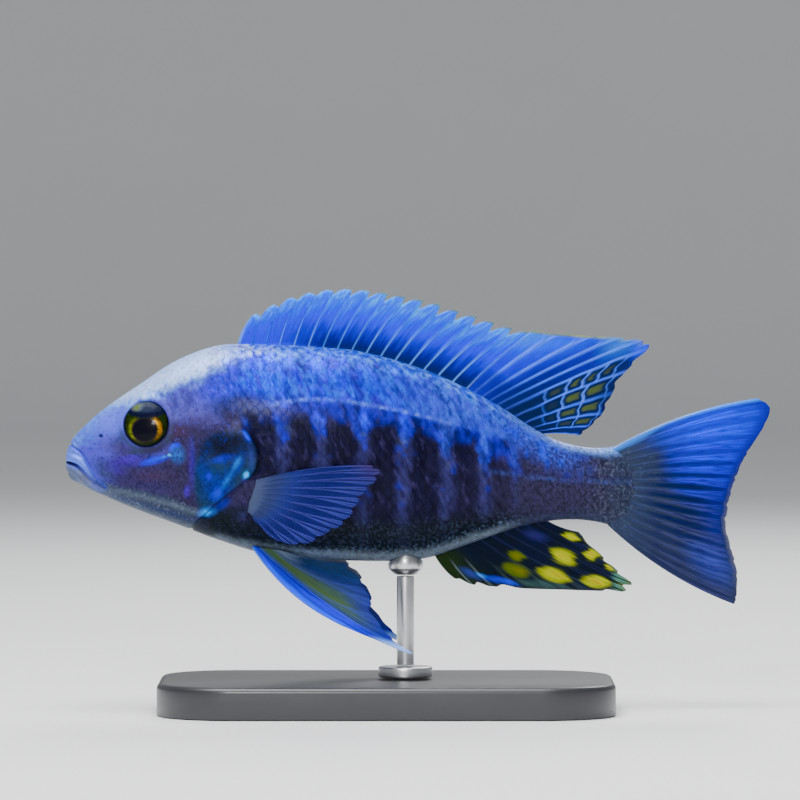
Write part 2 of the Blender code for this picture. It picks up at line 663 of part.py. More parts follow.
def round_bar(name, x, z_from, z_to, radius, finish, sides=24):
    """An upright round bar between two heights above the floor."""
    bpy.ops.mesh.primitive_cylinder_add(vertices=sides, radius=radius * MM,
                                        depth=(z_to - z_from) * MM,
                                        location=(x * MM, 0.0, (z_from + z_to) / 2 * MM))
    thing = bpy.context.object
    thing.name = name
    thing.data.name = name
    thing.data.materials.append(paint(finish))
    thing.data.shade_smooth()
    thing.data.set_sharp_from_angle(angle=SHARP_ANGLE)
    return thing


def make_base():
    """The base: a flat plate with round corners and a small bevel along its top edge."""
    half = np.array([BASE_LENGTH / 2, BASE_WIDTH / 2]) - BASE_CORNER
    turn = np.linspace(0, 2 * np.pi, 40, endpoint=False) + np.pi / 40
    corner = np.stack([np.cos(turn), np.sin(turn)], -1)
    work = bmesh.new()
    ring = []
    for spot in corner:
        x, y = np.sign(spot) * half + spot * BASE_CORNER
        ring.append(work.verts.new(((BASE_CENTRE_X + x) * MM, y * MM, 0.0)))
    bottom = work.faces.new(ring)
    moved = bmesh.ops.extrude_face_region(work, geom=[bottom])["geom"]
    top = [part for part in moved if isinstance(part, bmesh.types.BMVert)]
    bmesh.ops.translate(work, vec=(0.0, 0.0, BASE_HEIGHT * MM), verts=top)
    rim = [edge for edge in work.edges if all(vert in top for vert in edge.verts)]
    bmesh.ops.bevel(work, geom=rim, offset=BASE_BEVEL * MM, segments=2, profile=0.5,
                    affect="EDGES")
    bmesh.ops.recalc_face_normals(work, faces=work.faces)
    mesh = bpy.data.meshes.new("stand_base")
    work.to_mesh(mesh)
    work.free()
    mesh.materials.append(paint("base"))
    mesh.shade_smooth()
    mesh.set_sharp_from_angle(angle=SHARP_ANGLE)
    bpy.context.collection.objects.link(bpy.data.objects.new("stand_base", mesh))


def make_stand():
    """The stand: base, foot, rod, and a collar shaped to the belly."""
    make_base()
    foot_top = BASE_HEIGHT + GAP + FOOT_HEIGHT
    belly = AXIS_HEIGHT + float(profile(BELLY, np.array([ROD_X]))[0])
    collar_from = belly - COLLAR_HEIGHT
    round_bar("stand_foot", ROD_X, BASE_HEIGHT + GAP, foot_top, FOOT_RADIUS, "steel", 32)
    round_bar("stand_rod", ROD_X, foot_top + GAP, collar_from - GAP, ROD_RADIUS, "steel")
    collar = round_bar("stand_collar", ROD_X, collar_from, belly + 2.0, COLLAR_RADIUS, "steel")
    combine(collar, "DIFFERENCE", [flesh("clear", GAP)])


def main():
    clear_scene()
    make_head()
    make_jaws()
    make_trunk()
    make_gill_covers()
    eyeball("eye_left", -1)
    eyeball("eye_right", 1)
    make_spiny_dorsal()
    make_soft_dorsal()
    make_anal_fin()
    make_tail_fin()
    make_paired_fins()
    make_stand()


main()
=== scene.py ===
import bpy
import numpy as np
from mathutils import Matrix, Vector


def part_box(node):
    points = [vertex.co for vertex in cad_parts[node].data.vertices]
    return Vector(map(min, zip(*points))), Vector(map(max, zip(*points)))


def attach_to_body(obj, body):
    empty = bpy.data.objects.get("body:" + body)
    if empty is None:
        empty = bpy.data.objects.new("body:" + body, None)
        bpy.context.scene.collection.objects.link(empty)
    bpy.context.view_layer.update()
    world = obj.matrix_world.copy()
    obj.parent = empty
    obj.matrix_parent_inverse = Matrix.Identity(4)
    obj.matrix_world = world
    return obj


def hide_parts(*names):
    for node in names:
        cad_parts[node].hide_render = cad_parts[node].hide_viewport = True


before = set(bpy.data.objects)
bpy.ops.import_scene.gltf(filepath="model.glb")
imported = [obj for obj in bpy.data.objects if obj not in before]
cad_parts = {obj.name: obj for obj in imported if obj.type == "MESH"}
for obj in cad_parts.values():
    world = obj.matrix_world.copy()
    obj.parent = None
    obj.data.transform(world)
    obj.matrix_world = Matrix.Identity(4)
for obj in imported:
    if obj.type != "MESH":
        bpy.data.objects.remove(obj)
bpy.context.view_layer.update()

# A peacock cichlid on a plain display stand. Shapes are worked out in millimetres: x from the
# snout (-65) to the tip of the tail (65), y across the body, and rise above the fish's axis.
mm = 0.001
axisHeight = 46
snoutX = -65
draws = np.random.default_rng(7)
sides = ((-1, "left"), (1, "right"))

# Base colours, linear
colours = dict(
    white=(0.36, 0.52, 0.9), paleBlue=(0.13, 0.32, 0.9), lavender=(0.1, 0.135, 0.83),
    periwinkle=(0.066, 0.06, 0.55), dusk=(0.063, 0.057, 0.33), mauve=(0.04, 0.028, 0.115),
    plum=(0.022, 0.017, 0.054), black=(0.003, 0.003, 0.007), barBlack=(0.002, 0.002, 0.02),
    navy=(0.001, 0.001, 0.07), deepBlue=(0.002, 0.003, 0.25), royal=(0.002, 0.004, 0.72),
    azure=(0.002, 0.03, 0.95), sky=(0.02, 0.24, 0.95), cyan=(0.001, 0.135, 0.64),
    brightCyan=(0.02, 0.36, 0.95), teal=(0.002, 0.01, 0.045), violet=(0.052, 0.002, 0.44),
    violetGrey=(0.039, 0.037, 0.175), slate=(0.03, 0.048, 0.33), steelBlue=(0.016, 0.023, 0.17),
    stone=(0.025, 0.036, 0.074), moss=(0.004, 0.009, 0.014), keel=(0.15, 0.195, 0.25),
    yellow=(0.36, 0.41, 0), orange=(0.46, 0.27, 0), olive=(0.085, 0.125, 0),
    leaf=(0.012, 0.028, 0.003), gold=(0.42, 0.19, 0), amber=(0.36, 0.1, 0),
    silver=(0.163, 0.252, 0.444), mint=(0.198, 0.606, 0.463), rust=(0.06, 0.02, 0.03),
    cellTeal=(0.004, 0.03, 0.08), opercleBlue=(0, 0.01, 0.3), denim=(0.034, 0.056, 0.5),
    stalk=(0.024, 0.023, 0.052), lowerLip=(0.085, 0.115, 0.215), reed=(0.038, 0.082, 0.03),
    rayBlue=(0.035, 0.105, 0.85), cerulean=(0, 0.09, 0.8), seaGreen=(0.035, 0.085, 0.085))
colours = {name: np.array(value) for name, value in colours.items()}


# Shared shapes of numbers

def smooth(points, at):
    # Cubic curve through (parameter, values...) points, its slopes the central differences
    table = np.array(points, float)
    knots, values = table[:, 0], table[:, 1:]
    slopes = np.gradient(values, knots, axis=0)
    span = np.clip(np.searchsorted(knots, at) - 1, 0, len(knots) - 2)
    width = (knots[span + 1] - knots[span])[..., None]
    t = (np.asarray(at)[..., None] - knots[span][..., None]) / width
    start, end = values[span], values[span + 1]
    lead = t * (1 - t) * width * ((1 - t) * slopes[span] - t * slopes[span + 1])
    return start + (end - start) * t * t * (3 - 2 * t) + lead


def numbered(points):
    # Points with their numbers in front, as the parameter of a curve
    return [(number, *point) for number, point in enumerate(points)]


def profile(points, x):
    # A curve of x that starts round at the snout: it runs on the root of the distance from it
    rooted = [(np.sqrt(px - snoutX), value) for px, value in points]
    return smooth(rooted, np.sqrt(np.maximum(x - snoutX, 0)))[..., 0]


def refined(line, between):
    # The same line as a smooth curve with more points
    return smooth(numbered(line), np.linspace(0, len(line) - 1, (len(line) - 1) * between + 1))


def nearLine(line, x, rise):
    # Signed distance from a broken line: more than 0 on its right hand, going along it
    best = np.full(np.shape(x), 1e9)
    signed = best.copy()
    for (x0, r0), (x1, r1) in zip(line[:-1], line[1:]):
        ax, ar = x1 - x0, r1 - r0
        part = np.clip(((x - x0) * ax + (rise - r0) * ar) / (ax * ax + ar * ar), 0, 1)
        dx, dr = x - x0 - part * ax, rise - r0 - part * ar
        distance = np.hypot(dx, dr)
        closer = distance < best
        signed = np.where(closer, distance * np.sign(ar * dx - ax * dr), signed)
        best = np.where(closer, distance, best)
    return signed


def bump(distance, width):
    # 1 at no distance, falling smoothly to 0 at the width
    return np.clip(1 - (distance / width) ** 2, 0, 1) ** 2


def step(value, start, end):
    # 0 before start, 1 after end, smooth between; start may be the larger
    t = np.clip((value - start) / (end - start), 0, 1)
    return t * t * (3 - 2 * t)


def spot(x, rise, centre, size, turn, soft):
    # 1 inside an ellipse turned by some degrees, falling to 0 at its rim over the soft share
    c, s = np.cos(np.radians(turn)), np.sin(np.radians(turn))
    dx, dr = x - centre[0], rise - centre[1]
    along, aside = np.abs(dx * c + dr * s) / size[0], np.abs(dr * c - dx * s) / size[1]
    return step((along ** 2 + aside ** 2) ** 0.5, 1, 1 - soft)


def hashed(i, j, seed):
    # A fixed draw from 0 to 1 for each pair of whole numbers
    mixed = np.sin(i * 127.1 + j * 311.7 + seed * 74.7) * 43758.5453
    return mixed - np.floor(mixed)


def grain(u, v, seed):
    # Smooth noise from 0 to 1: draws at whole numbers, blended by smoothstep in between
    i, j = np.floor(u), np.floor(v)
    fu, fv = u - i, v - j
    fu, fv = fu * fu * (3 - 2 * fu), fv * fv * (3 - 2 * fv)
    low = hashed(i, j, seed) * (1 - fu) + hashed(i + 1, j, seed) * fu
    high = hashed(i, j + 1, seed) * (1 - fu) + hashed(i + 1, j + 1, seed) * fu
    return low * (1 - fv) + high * fv


def plain(x, name, strength=1):
    # A named colour times a strength, the same at every place
    return np.ones((*x.shape, 1)) * (colours[name] * strength)


def wash(tint, coats):
    # The tint moved in turn towards named colours: each coat is a mask, a name and a strength
    for mask, name, strength in coats:
        tint = tint + (colours[name] - tint) * (mask * strength)[..., None]
    return tint


def circle(count):
    # Angles of points evenly round a circle
    return np.linspace(0, 2 * np.pi, count, endpoint=False)


def quarter(count):
    # Steps round a quarter circle that starts upright: how far in and how far up each one is
    bend = np.linspace(0, np.pi / 2, count)
    return 1 - np.cos(bend), np.sin(bend)


# Meshes and materials

def gridFaces(rows, columns, wrap=False):
    # Quads of a grid of points, its last column joined to the first where it wraps
    row, column = np.meshgrid(np.arange(rows - 1), np.arange(columns if wrap else columns - 1),
                              indexing="ij")
    beside = (column + 1) % columns
    a, b = row * columns + column, row * columns + beside
    return np.stack([a, b, b + columns, a + columns], -1).reshape(-1, 4)


def poleFans(rows, columns):
    # Triangles that close the ends of a wrapped grid with the two points that come after it
    ring = np.arange(columns)
    beside, last, pole = (ring + 1) % columns, (rows - 1) * columns, rows * columns
    return np.concatenate([np.stack([beside, ring, np.full(columns, pole)], -1),
                           np.stack([last + ring, last + beside, np.full(columns, pole + 1)], -1)])


def makePiece(name, points, quads, material, triangles=None, **layers):
    # A mesh from points in millimetres; layers are colours (n, 3) or numbers (n,) for each point
    mesh = bpy.data.meshes.new(name)
    placed = ((points + np.array([0, 0, axisHeight])) * mm).astype(np.float32)
    triangles = np.zeros((0, 3), int) if triangles is None else np.asarray(triangles)
    a, b, c = (placed[quads[:, k]] for k in (0, 1, 2))
    d = placed[quads[:, 3]]
    volume = np.einsum("ij,ij->", a, np.cross(b, c)) + np.einsum("ij,ij->", a, np.cross(c, d))
    if volume < 0:
        quads, triangles = quads[:, ::-1], triangles[:, ::-1]
    mesh.vertices.add(len(placed))
    mesh.vertices.foreach_set("co", placed.ravel())
    corners = np.concatenate([quads.ravel(), triangles.ravel()]).astype(np.int32)
    starts = np.concatenate([np.arange(len(quads)) * 4,
                             len(quads) * 4 + np.arange(len(triangles)) * 3]).astype(np.int32)
    mesh.loops.add(len(corners))
    mesh.loops.foreach_set("vertex_index", corners)
    mesh.polygons.add(len(starts))
    mesh.polygons.foreach_set("loop_start", starts)
    mesh.update(calc_edges=True)
    mesh.validate()
    mesh.shade_smooth()
    for layer, values in layers.items():
        if values.ndim == 2:
            held = mesh.attributes.new(layer, "FLOAT_COLOR", "POINT")
            full = np.concatenate([values, np.ones((len(values), 1))], 1)
            held.data.foreach_set("color", np.clip(full, 0, 1).astype(np.float32).ravel())
        else:
            held = mesh.attributes.new(layer, "FLOAT", "POINT")
            held.data.foreach_set("value", values.astype(np.float32))
    mesh.materials.append(material)
    piece = bpy.data.objects.new(name, mesh)
    bpy.context.collection.objects.link(piece)
    print(f"  {name}: {len(quads) * 2 + len(triangles)} triangles")
    return piece


class Wire:
    # A socket of a material: each operator adds a Math node that works on it

    def __init__(self, finish, socket):
        self.finish, self.socket = finish, socket

    def maths(self, operation, first, second):
        return self.finish.node("ShaderNodeMath", {"operation": operation}, {0: first, 1: second})

    def __add__(self, other):
        return self.maths("ADD", self, other)

    def __sub__(self, other):
        return self.maths("SUBTRACT", self, other)

    def __rsub__(self, other):
        return self.maths("SUBTRACT", other, self)

    def __mul__(self, other):
        return self.maths("MULTIPLY", self, other)

    __radd__ = __add__
    __rmul__ = __mul__


class Finish:
    # A material built in code around one Principled shader

    def __init__(self, name, **fixed):
        # Fixed values are named like the shader's sockets, with _ for a space
        self.material = bpy.data.materials.new(name)
        self.material.use_nodes = True
        self.tree = self.material.node_tree
        self.shader = self.tree.nodes["Principled BSDF"]
        for socket, value in fixed.items():
            self.shader.inputs[socket.replace("_", " ")].default_value = value

    def node(self, kind, settings=None, sockets=None, output=0):
        # A node: settings are set first, then sockets get their values or links
        made = self.tree.nodes.new(kind)
        for key, value in (settings or {}).items():
            setattr(made, key, value)
        for key, value in (sockets or {}).items():
            if isinstance(value, Wire):
                self.tree.links.new(value.socket, made.inputs[key])
            else:
                made.inputs[key].default_value = value
        return Wire(self, made.outputs[output])

    def layer(self, name, output="Fac"):
        # What the mesh holds at each point under a name
        return self.node("ShaderNodeAttribute", {"attribute_name": name}, output=output)

    def place(self, scale=(1, 1, 1)):
        # The place on the object, scaled
        at = self.node("ShaderNodeTexCoord", output="Object")
        return self.node("ShaderNodeMapping", sockets={"Vector": at, "Scale": scale})

    def noise(self, size, detail=2, stretch=(1, 1, 1)):
        # Noise whose grains are about size millimetres across
        return self.node("ShaderNodeTexNoise", sockets={
            "Vector": self.place(stretch), "Scale": 1 / (size * mm), "Detail": detail})

    def leaning(self, size, long, turn, shift):
        # Noise of grains drawn out lengthwise, the long way turned some degrees from upright
        at = self.node("ShaderNodeTexCoord", output="Object")
        laid = self.node("ShaderNodeMapping", {"vector_type": "TEXTURE"}, {
            "Vector": at, "Location": (shift * mm, 0, shift * mm),
            "Rotation": (0, -np.radians(turn), 0), "Scale": (1, 1, long)})
        return self.node("ShaderNodeTexNoise", sockets={
            "Vector": laid, "Scale": 1 / (size * mm), "Detail": 2})

    def covered(self, noise, share, strength):
        # Where noise stands above a level that falls as the share of the surface rises
        above = self.node("ShaderNodeMath", {"operation": "MULTIPLY_ADD", "use_clamp": True},
                          {0: noise + 0.34 * share - 0.67, 1: 5, 2: 0.5})
        return strength * above

    def flecked(self):
        # The tint with dark and light flecks over it: streaks that lean back, or round grains
        tint, streaky = self.layer("tint", "Color"), self.layer("streaky")
        wires = []
        for shift, layer, strength in ((3, "darkShare", 0.68), (41, "lightShare", 0.6)):
            streaks = self.leaning(1, 2.7, 22, shift)
            grains = self.leaning(0.5, 1.2, 30, shift + 17)
            noise = grains + streaky * (streaks - grains)
            wires.append(self.covered(noise, self.layer(layer), strength))
        dark = self.mixed("MULTIPLY", wires[0], tint, (0.3, 0.28, 0.38, 1))
        return self.mixed("MIX", wires[1], dark, self.layer("light", "Color"))

    def mixed(self, kind, factor, first, second):
        # Two colours blended by a factor
        return self.node("ShaderNodeMix", {"data_type": "RGBA", "blend_type": kind},
                         {0: factor, 6: first, 7: second}, output=2)

    def scaled(self, colour, shade):
        # A colour times a number
        return self.node("ShaderNodeVectorMath", {"operation": "SCALE"}, {0: colour, "Scale": shade})

    def sine(self, angle):
        # Ripples from -1 to 1
        return self.node("ShaderNodeMath", {"operation": "SINE"}, {0: angle})

    def feed(self, **wires):
        # Links wires to the shader's sockets
        for socket, wire in wires.items():
            self.tree.links.new(wire.socket, self.shader.inputs[socket.replace("_", " ")])

    def raised(self, height, depth):
        # A bump of the given depth in millimetres feeds the shader's normal
        self.feed(Normal=self.node("ShaderNodeBump", sockets={
            "Strength": 1, "Distance": depth * mm, "Height": height}))


# The body: outlines as (x, rise), the share of the depth under the widest line, mesh sizes
body = dict(
    back=[(-65, 0), (-64.3, 3.4), (-62.4, 5.8), (-58.7, 9.2), (-51.4, 14.3), (-44, 19), (-36.6, 21.5),
          (-29, 21.7), (-20, 21.3), (-11, 20.4), (-3.5, 18.5), (3.1, 16.2), (9.6, 13.2), (16.2, 9.5),
          (20.5, 6.6), (24.8, 4.2), (29.4, 2.9), (34.3, 2.6), (41.5, 4.6)],
    belly=[(-65, 0), (-64.3, -2.9), (-62.4, -4.1), (-58.7, -5.9), (-51.4, -9), (-44, -11.7),
           (-36.6, -14.5), (-29.3, -16.7), (-21.9, -17.8), (-12.7, -18.2), (-3.5, -18.2), (2, -17.6),
           (7, -15.9), (12.9, -13.8), (19, -11.8), (24, -10.9), (30, -10.7), (35, -11.6),
           (41.5, -14.6)],
    halfWidth=[(-65, 0), (-64.3, 1.9), (-62.4, 3), (-58.7, 4.3), (-51.4, 6), (-44, 7.3), (-36.6, 8.2),
               (-29, 8.7), (-20, 8.8), (-11, 8.5), (-3.5, 7.9), (5, 6.9), (13, 5.6), (20, 4.3),
               (26, 3.3), (31, 2.6), (36, 1.9), (41.5, 1.3)],
    widest=[(-65, 0.5), (-50, 0.49), (-30, 0.53), (0, 0.52), (41.5, 0.5)],
    fullness=0.92, endX=40, rings=424, around=230, crowding=1.5, angleCrowding=0.34,
    gillRingX=-31.5, gillPull=(-62, -8), tailPull=26, pastTailRoot=1.3,
    tailRoot=[(-12.2, 36.4), (-11.3, 37.1), (-8.3, 38.5), (-5.2, 39.2), (-2, 39.1), (0.8, 38.3),
              (2.9, 37)])

# Lines and places on the head
head = dict(
    mouth=[(-67, 0.2), (-64.6, -0.1), (-62.7, -0.8), (-60.2, -3.4), (-59.2, -4.1), (-57.8, -4.8)],
    muzzle=[(-67, 5.6), (-63.9, 3), (-62.1, 1.7), (-60.5, -0.8), (-58.8, -3.3), (-57.1, -4.7)],
    gillOpening=[(-34.6, 25), (-33.9, 14), (-32.8, 9), (-32, 6), (-30.2, 3.9), (-29.6, 1.8),
                 (-29.7, -0.2), (-30.4, -1.8), (-31.8, -3), (-35.5, -6), (-39.4, -9.4),
                 (-42.6, -12.4), (-45.5, -16)],
    coverFront=[(-39.6, -10.4), (-41.2, -8), (-41.9, -5.2), (-42, -2), (-41.5, 1.4), (-40.3, 4.5),
                (-37.9, 6.5), (-35, 7.1)],
    nostril=(-58.4, 4.9), nostrilSize=0.42,
    pores=[(-58.2, 0.9), (-56.4, 1.1), (-55.4, 0.3), (-53.2, -0.3), (-60.2, 2.6), (-58.9, 7.2),
           (-55.6, 10), (-52.9, -2.6), (-48.6, -3.6), (-45.2, -4.6), (-43.4, -1.6)],
    lipRise=0.5, lipHalf=0.95, coverRise=0.34)
head["opening"] = refined(head["gillOpening"], 3)
head["mouthLine"] = refined(head["mouth"], 3)
head["muzzleLine"] = refined(head["muzzle"], 3)

eye = dict(x=-50, rise=7.15, radius=4.15, bulge=1.35, depth=3, lift=0.1, orbitRise=0.3,
           lean=0.17, rings=56, spokes=96)


def fromEye(x, rise):
    # Distance from the middle of the eye in the side view
    return np.hypot(x - eye["x"], rise - eye["rise"])


def headRelief(x, rise):
    # How far lips, orbit and gill cover stand out: smooth ridges beside their lines
    fromMouth = nearLine(head["mouthLine"], x, rise)
    lips = head["lipRise"] * bump(np.abs(fromMouth) - head["lipHalf"], head["lipHalf"])
    orbit = eye["orbitRise"] * bump(fromEye(x, rise) - eye["radius"] - 0.3, 1.4)
    fromOpening = nearLine(head["opening"], x, rise)
    inside = step(fromOpening, -0.14, 0.14) * step(fromOpening, 9.5, 3)
    cover = head["coverRise"] * inside * step(rise, 8.2, 4.2) * step(rise, -13, -9)
    return lips * step(x, -57.4, -58.6) + orbit + cover


def tailRoot(rise):
    # The x at which rays of the tail fin start, at each rise
    table = np.array(body["tailRoot"])
    return np.interp(rise, table[:, 0], table[:, 1])


def flank(x, angle, lift=0, relief=True):
    # The body's surface: at x, an angle up from the widest line; rise follows the sine of the
    # angle, breadth a power of its cosine, and relief and lift push out square to the section;
    # the breadth dwindles towards a line just past the root of the tail
    back, belly = profile(body["back"], x), profile(body["belly"], x)
    half = profile(body["halfWidth"], x)
    middle = belly + (back - belly) * profile(body["widest"], x)
    sine, cosine = np.sin(angle), np.cos(angle)
    reach = np.where(sine > 0, back - middle, middle - belly)
    rise = middle + reach * sine
    left = tailRoot(rise) + body["pastTailRoot"] - x
    across = half * np.abs(cosine) ** body["fullness"] * (0.1 + 0.9 * step(left, 0, 4.6))
    out = lift + (headRelief(x, rise) * step(np.abs(cosine), 0, 0.35) if relief else 0)
    tilt = sine * half / np.maximum(np.hypot(half, reach), 1e-6)
    y = (across + out * np.sqrt(1 - tilt ** 2)) * np.sign(np.where(np.abs(cosine) < 1e-6, 0, cosine))
    return np.stack([x, y, rise + out * tilt], -1)


def eyeFrame(side):
    # The middle of an eye's rim and the directions out of it, ahead along it and up
    turn = np.linspace(-1.2, 1.2, 241)
    edge = flank(np.full(turn.shape, eye["x"]), turn)
    y = np.interp(eye["rise"], edge[:, 2], edge[:, 1] - eye["orbitRise"])
    out = np.array([-eye["lean"], side, eye["lean"]])
    out /= np.linalg.norm(out)
    ahead = np.cross([0, 0, 1], out)
    ahead /= np.linalg.norm(ahead)
    return np.array([eye["x"], side * y, eye["rise"]]) + out * eye["lift"], out, ahead, np.cross(out, ahead)


def carving(points):
    # How far fine folds go in (less than 0) at points of the skin: grooves along named lines,
    # the eye's socket, nostrils and pores
    x, rise = points[..., 0], points[..., 2]
    fromMouth = np.abs(nearLine(head["mouthLine"], x, rise))
    fromMuzzle = np.abs(nearLine(head["muzzleLine"], x, rise))
    fromOpening = nearLine(head["opening"], x, rise)
    height = -(0.3 + 0.55 * step(x, -60.5, -63)) * bump(fromMouth, 0.34) * step(x, -57.6, -59.4)
    height -= 0.34 * bump(fromMuzzle, 0.42) * step(x, -56.9, -58)
    height -= 0.34 * (bump(fromOpening + 0.55, 0.62) * step(rise, 8.6, 5) * step(rise, -15.5, -11))
    height -= 0.16 * bump(nearLine(head["coverFront"], x, rise), 0.55)
    height += 0.07 * bump(nearLine(markings["throatFold"], x, rise), 1) * step(x, -37.5, -41)
    height -= 0.1 * bump(nearLine(markings["throatCrease"], x, rise), 0.7) * step(x, -37.5, -41)
    pit = np.hypot(x - head["nostril"][0], rise - head["nostril"][1]) / head["nostrilSize"]
    height += 0.1 * bump(pit - 1.3, 0.7) - 0.7 * bump(pit, 1)
    for px, pr in head["pores"]:
        height -= 0.12 * bump(np.hypot(x - px, rise - pr), 0.22)
    for side, _ in sides:
        centre, _, ahead, up = eyeFrame(side)
        off = points - centre
        span = np.hypot(off @ ahead, off @ up)
        height -= 1.7 * step(span, eye["radius"] + 0.16, eye["radius"] - 0.5) * (points[..., 1] * side > 0)
    return height


# Markings of the body: lines as (x, rise), and the middles of the pale stripes
markings = dict(
    lateral=[(-34, 9.2), (-28.9, 10.3), (-24.3, 11.4), (-18.6, 11.8), (-13.1, 11.4), (-7.2, 10.3),
             (-1.7, 9.2), (2.8, 8.1), (9.8, 6.4), (14.9, 4.8), (20, 3.2)],
    lowerLateral=[(13, -1.6), (20, -2.6), (28, -3.4), (40, -3.8)],
    paleStripes=(-32.3, -24.9, -18, -10.5, -2.8, 5, 12, 18.2, 24.5),
    blazeEdge=[(-63.5, 2.6), (-61.5, 6.2), (-57.2, 9.7), (-53.8, 10.3), (-51.5, 10.9), (-45, 13.5),
               (-42.2, 14.4), (-37.6, 16.8), (-33, 18.6), (-28, 19.8), (-20, 20.4)],
    throatEdge=[(-62, -1.6), (-58.5, -3.2), (-55, -4.4), (-50, -5.2), (-46, -6.1),
                (-42, -7.9), (-38, -9.6), (-34, -11.8)],
    throatFold=[(-57.2, -4.9), (-53, -5.7), (-49.5, -6.6), (-45, -7.8), (-40.3, -9.3),
                (-37, -10.6)],
    throatCrease=[(-56.4, -6.2), (-50.5, -7.9), (-45.5, -9.3), (-40.5, -10.9), (-36, -12.4)])

# Soft patches of the head: colour, middle, half sizes, turn in degrees, strength, softness
headPatches = [
    ("dusk", (-57.2, 3.2), (3.6, 2.6), -35, 0.75, 0.9),
    ("mauve", (-54.6, 2.2), (4.2, 2.6), -25, 0.75, 0.9),
    ("stone", (-54.9, 4.2), (1.9, 2.8), -35, 0.8, 0.9),
    ("plum", (-51.2, 2.3), (5, 1.5), 4, 0.8, 0.8),
    ("plum", (-46.8, 3.7), (2.3, 1.4), 30, 0.85, 0.8),
    ("mauve", (-54, 2.7), (2.6, 1.5), -20, 0.75, 0.9),
    ("plum", (-48.4, 2.5), (2.6, 0.9), 8, 0.8, 0.8),
    ("stone", (-51.8, 2), (2.8, 0.9), 4, 0.8, 0.8),
    ("plum", (-45.7, 4.9), (2.2, 1.8), 0, 0.9, 0.9),
    ("stone", (-58, -0.6), (3.4, 2.2), -20, 0.7, 0.9),
    ("stone", (-57.6, -1.9), (2.4, 1.8), -38, 0.85, 0.9),
    ("rust", (-43.8, 5.6), (3.4, 2.2), 0, 0.55, 0.9),
    ("plum", (-42, 4.6), (5, 3), 0, 0.7, 0.9),
    ("violet", (-53.6, 0.2), (5.4, 1.5), 3, 0.55, 0.9),
    ("violet", (-55.8, -1.3), (3.4, 1.2), -14, 0.35, 0.9),
    ("violet", (-52.8, 0.9), (2.6, 0.9), 4, 0.6, 0.8),
    ("rust", (-49, -2.4), (5.4, 1.8), 0, 0.35, 0.9),
    ("royal", (-48.6, 0.5), (3.7, 1), 15, 1, 0.7),
    ("azure", (-48.2, 0.7), (2.2, 0.45), 15, 0.55, 0.8),
    ("sky", (-46.8, 1.1), (0.9, 0.4), 22, 0.6, 0.8),
    ("cyan", (-44.3, 1.7), (2, 2.6), 10, 0.6, 0.9),
    ("azure", (-45.2, 2.9), (1.3, 0.6), 55, 0.9, 0.8),
    ("royal", (-44.3, 3.3), (0.8, 0.6), 30, 0.9, 0.7),
    ("brightCyan", (-45.7, 1.5), (0.5, 0.4), 0, 1, 0.7),
    ("violet", (-41.6, -0.6), (1.1, 7), 2, 0.4, 0.9),
    ("deepBlue", (-41.4, 1.6), (0.7, 4.6), 2, 0.4, 0.9),
    ("violet", (-42.5, -5.2), (0.8, 1.6), 0, 0.95, 0.9)]

# Patches of the gill cover and of the cheek's edge behind it
coverPatches = [
    ("opercleBlue", (-39.4, -1.6), (2, 3.6), 8, 0.55, 0.9),
    ("royal", (-35.9, 0.9), (3.2, 1), 14, 0.5, 0.8),
    ("royal", (-38.5, -2.4), (0.9, 1.2), 0, 0.8, 0.8),
    ("opercleBlue", (-36.8, -4.6), (3.8, 4.2), -32, 0.9, 0.9),
    ("azure", (-37.2, -5.6), (1.5, 2), -40, 0.6, 0.9),
    ("brightCyan", (-33.3, 0), (0.75, 2.1), -30, 1, 0.9),
    ("opercleBlue", (-33.4, -0.4), (1.6, 3.6), -28, 0.8, 0.9),
    ("cyan", (-35.2, -3.2), (0.8, 2.8), -32, 0.8, 0.9),
    ("cyan", (-38.6, -9), (3, 1.6), 14, 0.9, 0.9),
    ("brightCyan", (-39.2, -9.2), (1.4, 1), 10, 1, 0.8),
    ("black", (-33.5, 4.3), (1.5, 1.6), 0, 0.75, 0.8),
    ("royal", (-31.6, 5.2), (0.7, 1.7), 30, 1, 0.9),
    ("sky", (-31.8, 5.5), (0.3, 0.9), 30, 0.7, 0.9),
    ("slate", (-30.7, 1.4), (1, 3.4), 4, 0.42, 0.9),
    ("plum", (-32.6, -4.6), (1.8, 2.6), -30, 0.7, 0.9),
    ("brightCyan", (-31.7, -2), (0.7, 0.9), -20, 1, 0.8),
    ("violet", (-31.8, -3.5), (0.8, 1.1), 0, 0.95, 0.8)]

# Patches that lie across the gill opening, over both of its edges
openingPatches = [
    ("opercleBlue", (-36, -7.5), (2.6, 1.3), 38, 0.75, 0.9),
    ("cyan", (-38.7, -9.1), (2.3, 1.1), 10, 0.75, 0.8),
    ("brightCyan", (-31.5, -2.2), (0.7, 0.9), -20, 0.8, 0.8),
    ("brightCyan", (-39, -9.1), (1.3, 0.8), 10, 0.7, 0.8),
    ("azure", (-31.5, 5.1), (0.45, 1.6), 30, 0.75, 0.8)]


def bodyNoise(x, rise, across, along, seed, turn=0):
    # Noise in grains across by along millimetres, turned by some degrees from level
    c, s = np.cos(np.radians(turn)), np.sin(np.radians(turn))
    return grain((x * c + rise * s) / across, (rise * c - x * s) / along, seed)


def patched(tint, x, rise, patches, least=1, size=1, seed=0):
    # A table of patches laid on in turn, each thinned by noise down to the least share
    for name, centre, half, turn, strength, soft in patches:
        near = spot(x, rise, centre, half, turn, soft)
        near = near * (least + (1 - least) * bodyNoise(x, rise, size, size, seed))
        tint = wash(tint, [(near, name, strength)])
    return tint


def lateralRise(x):
    # The rise of the lateral line at x
    return smooth(markings["lateral"], np.clip(x, -34, 20))[..., 0]


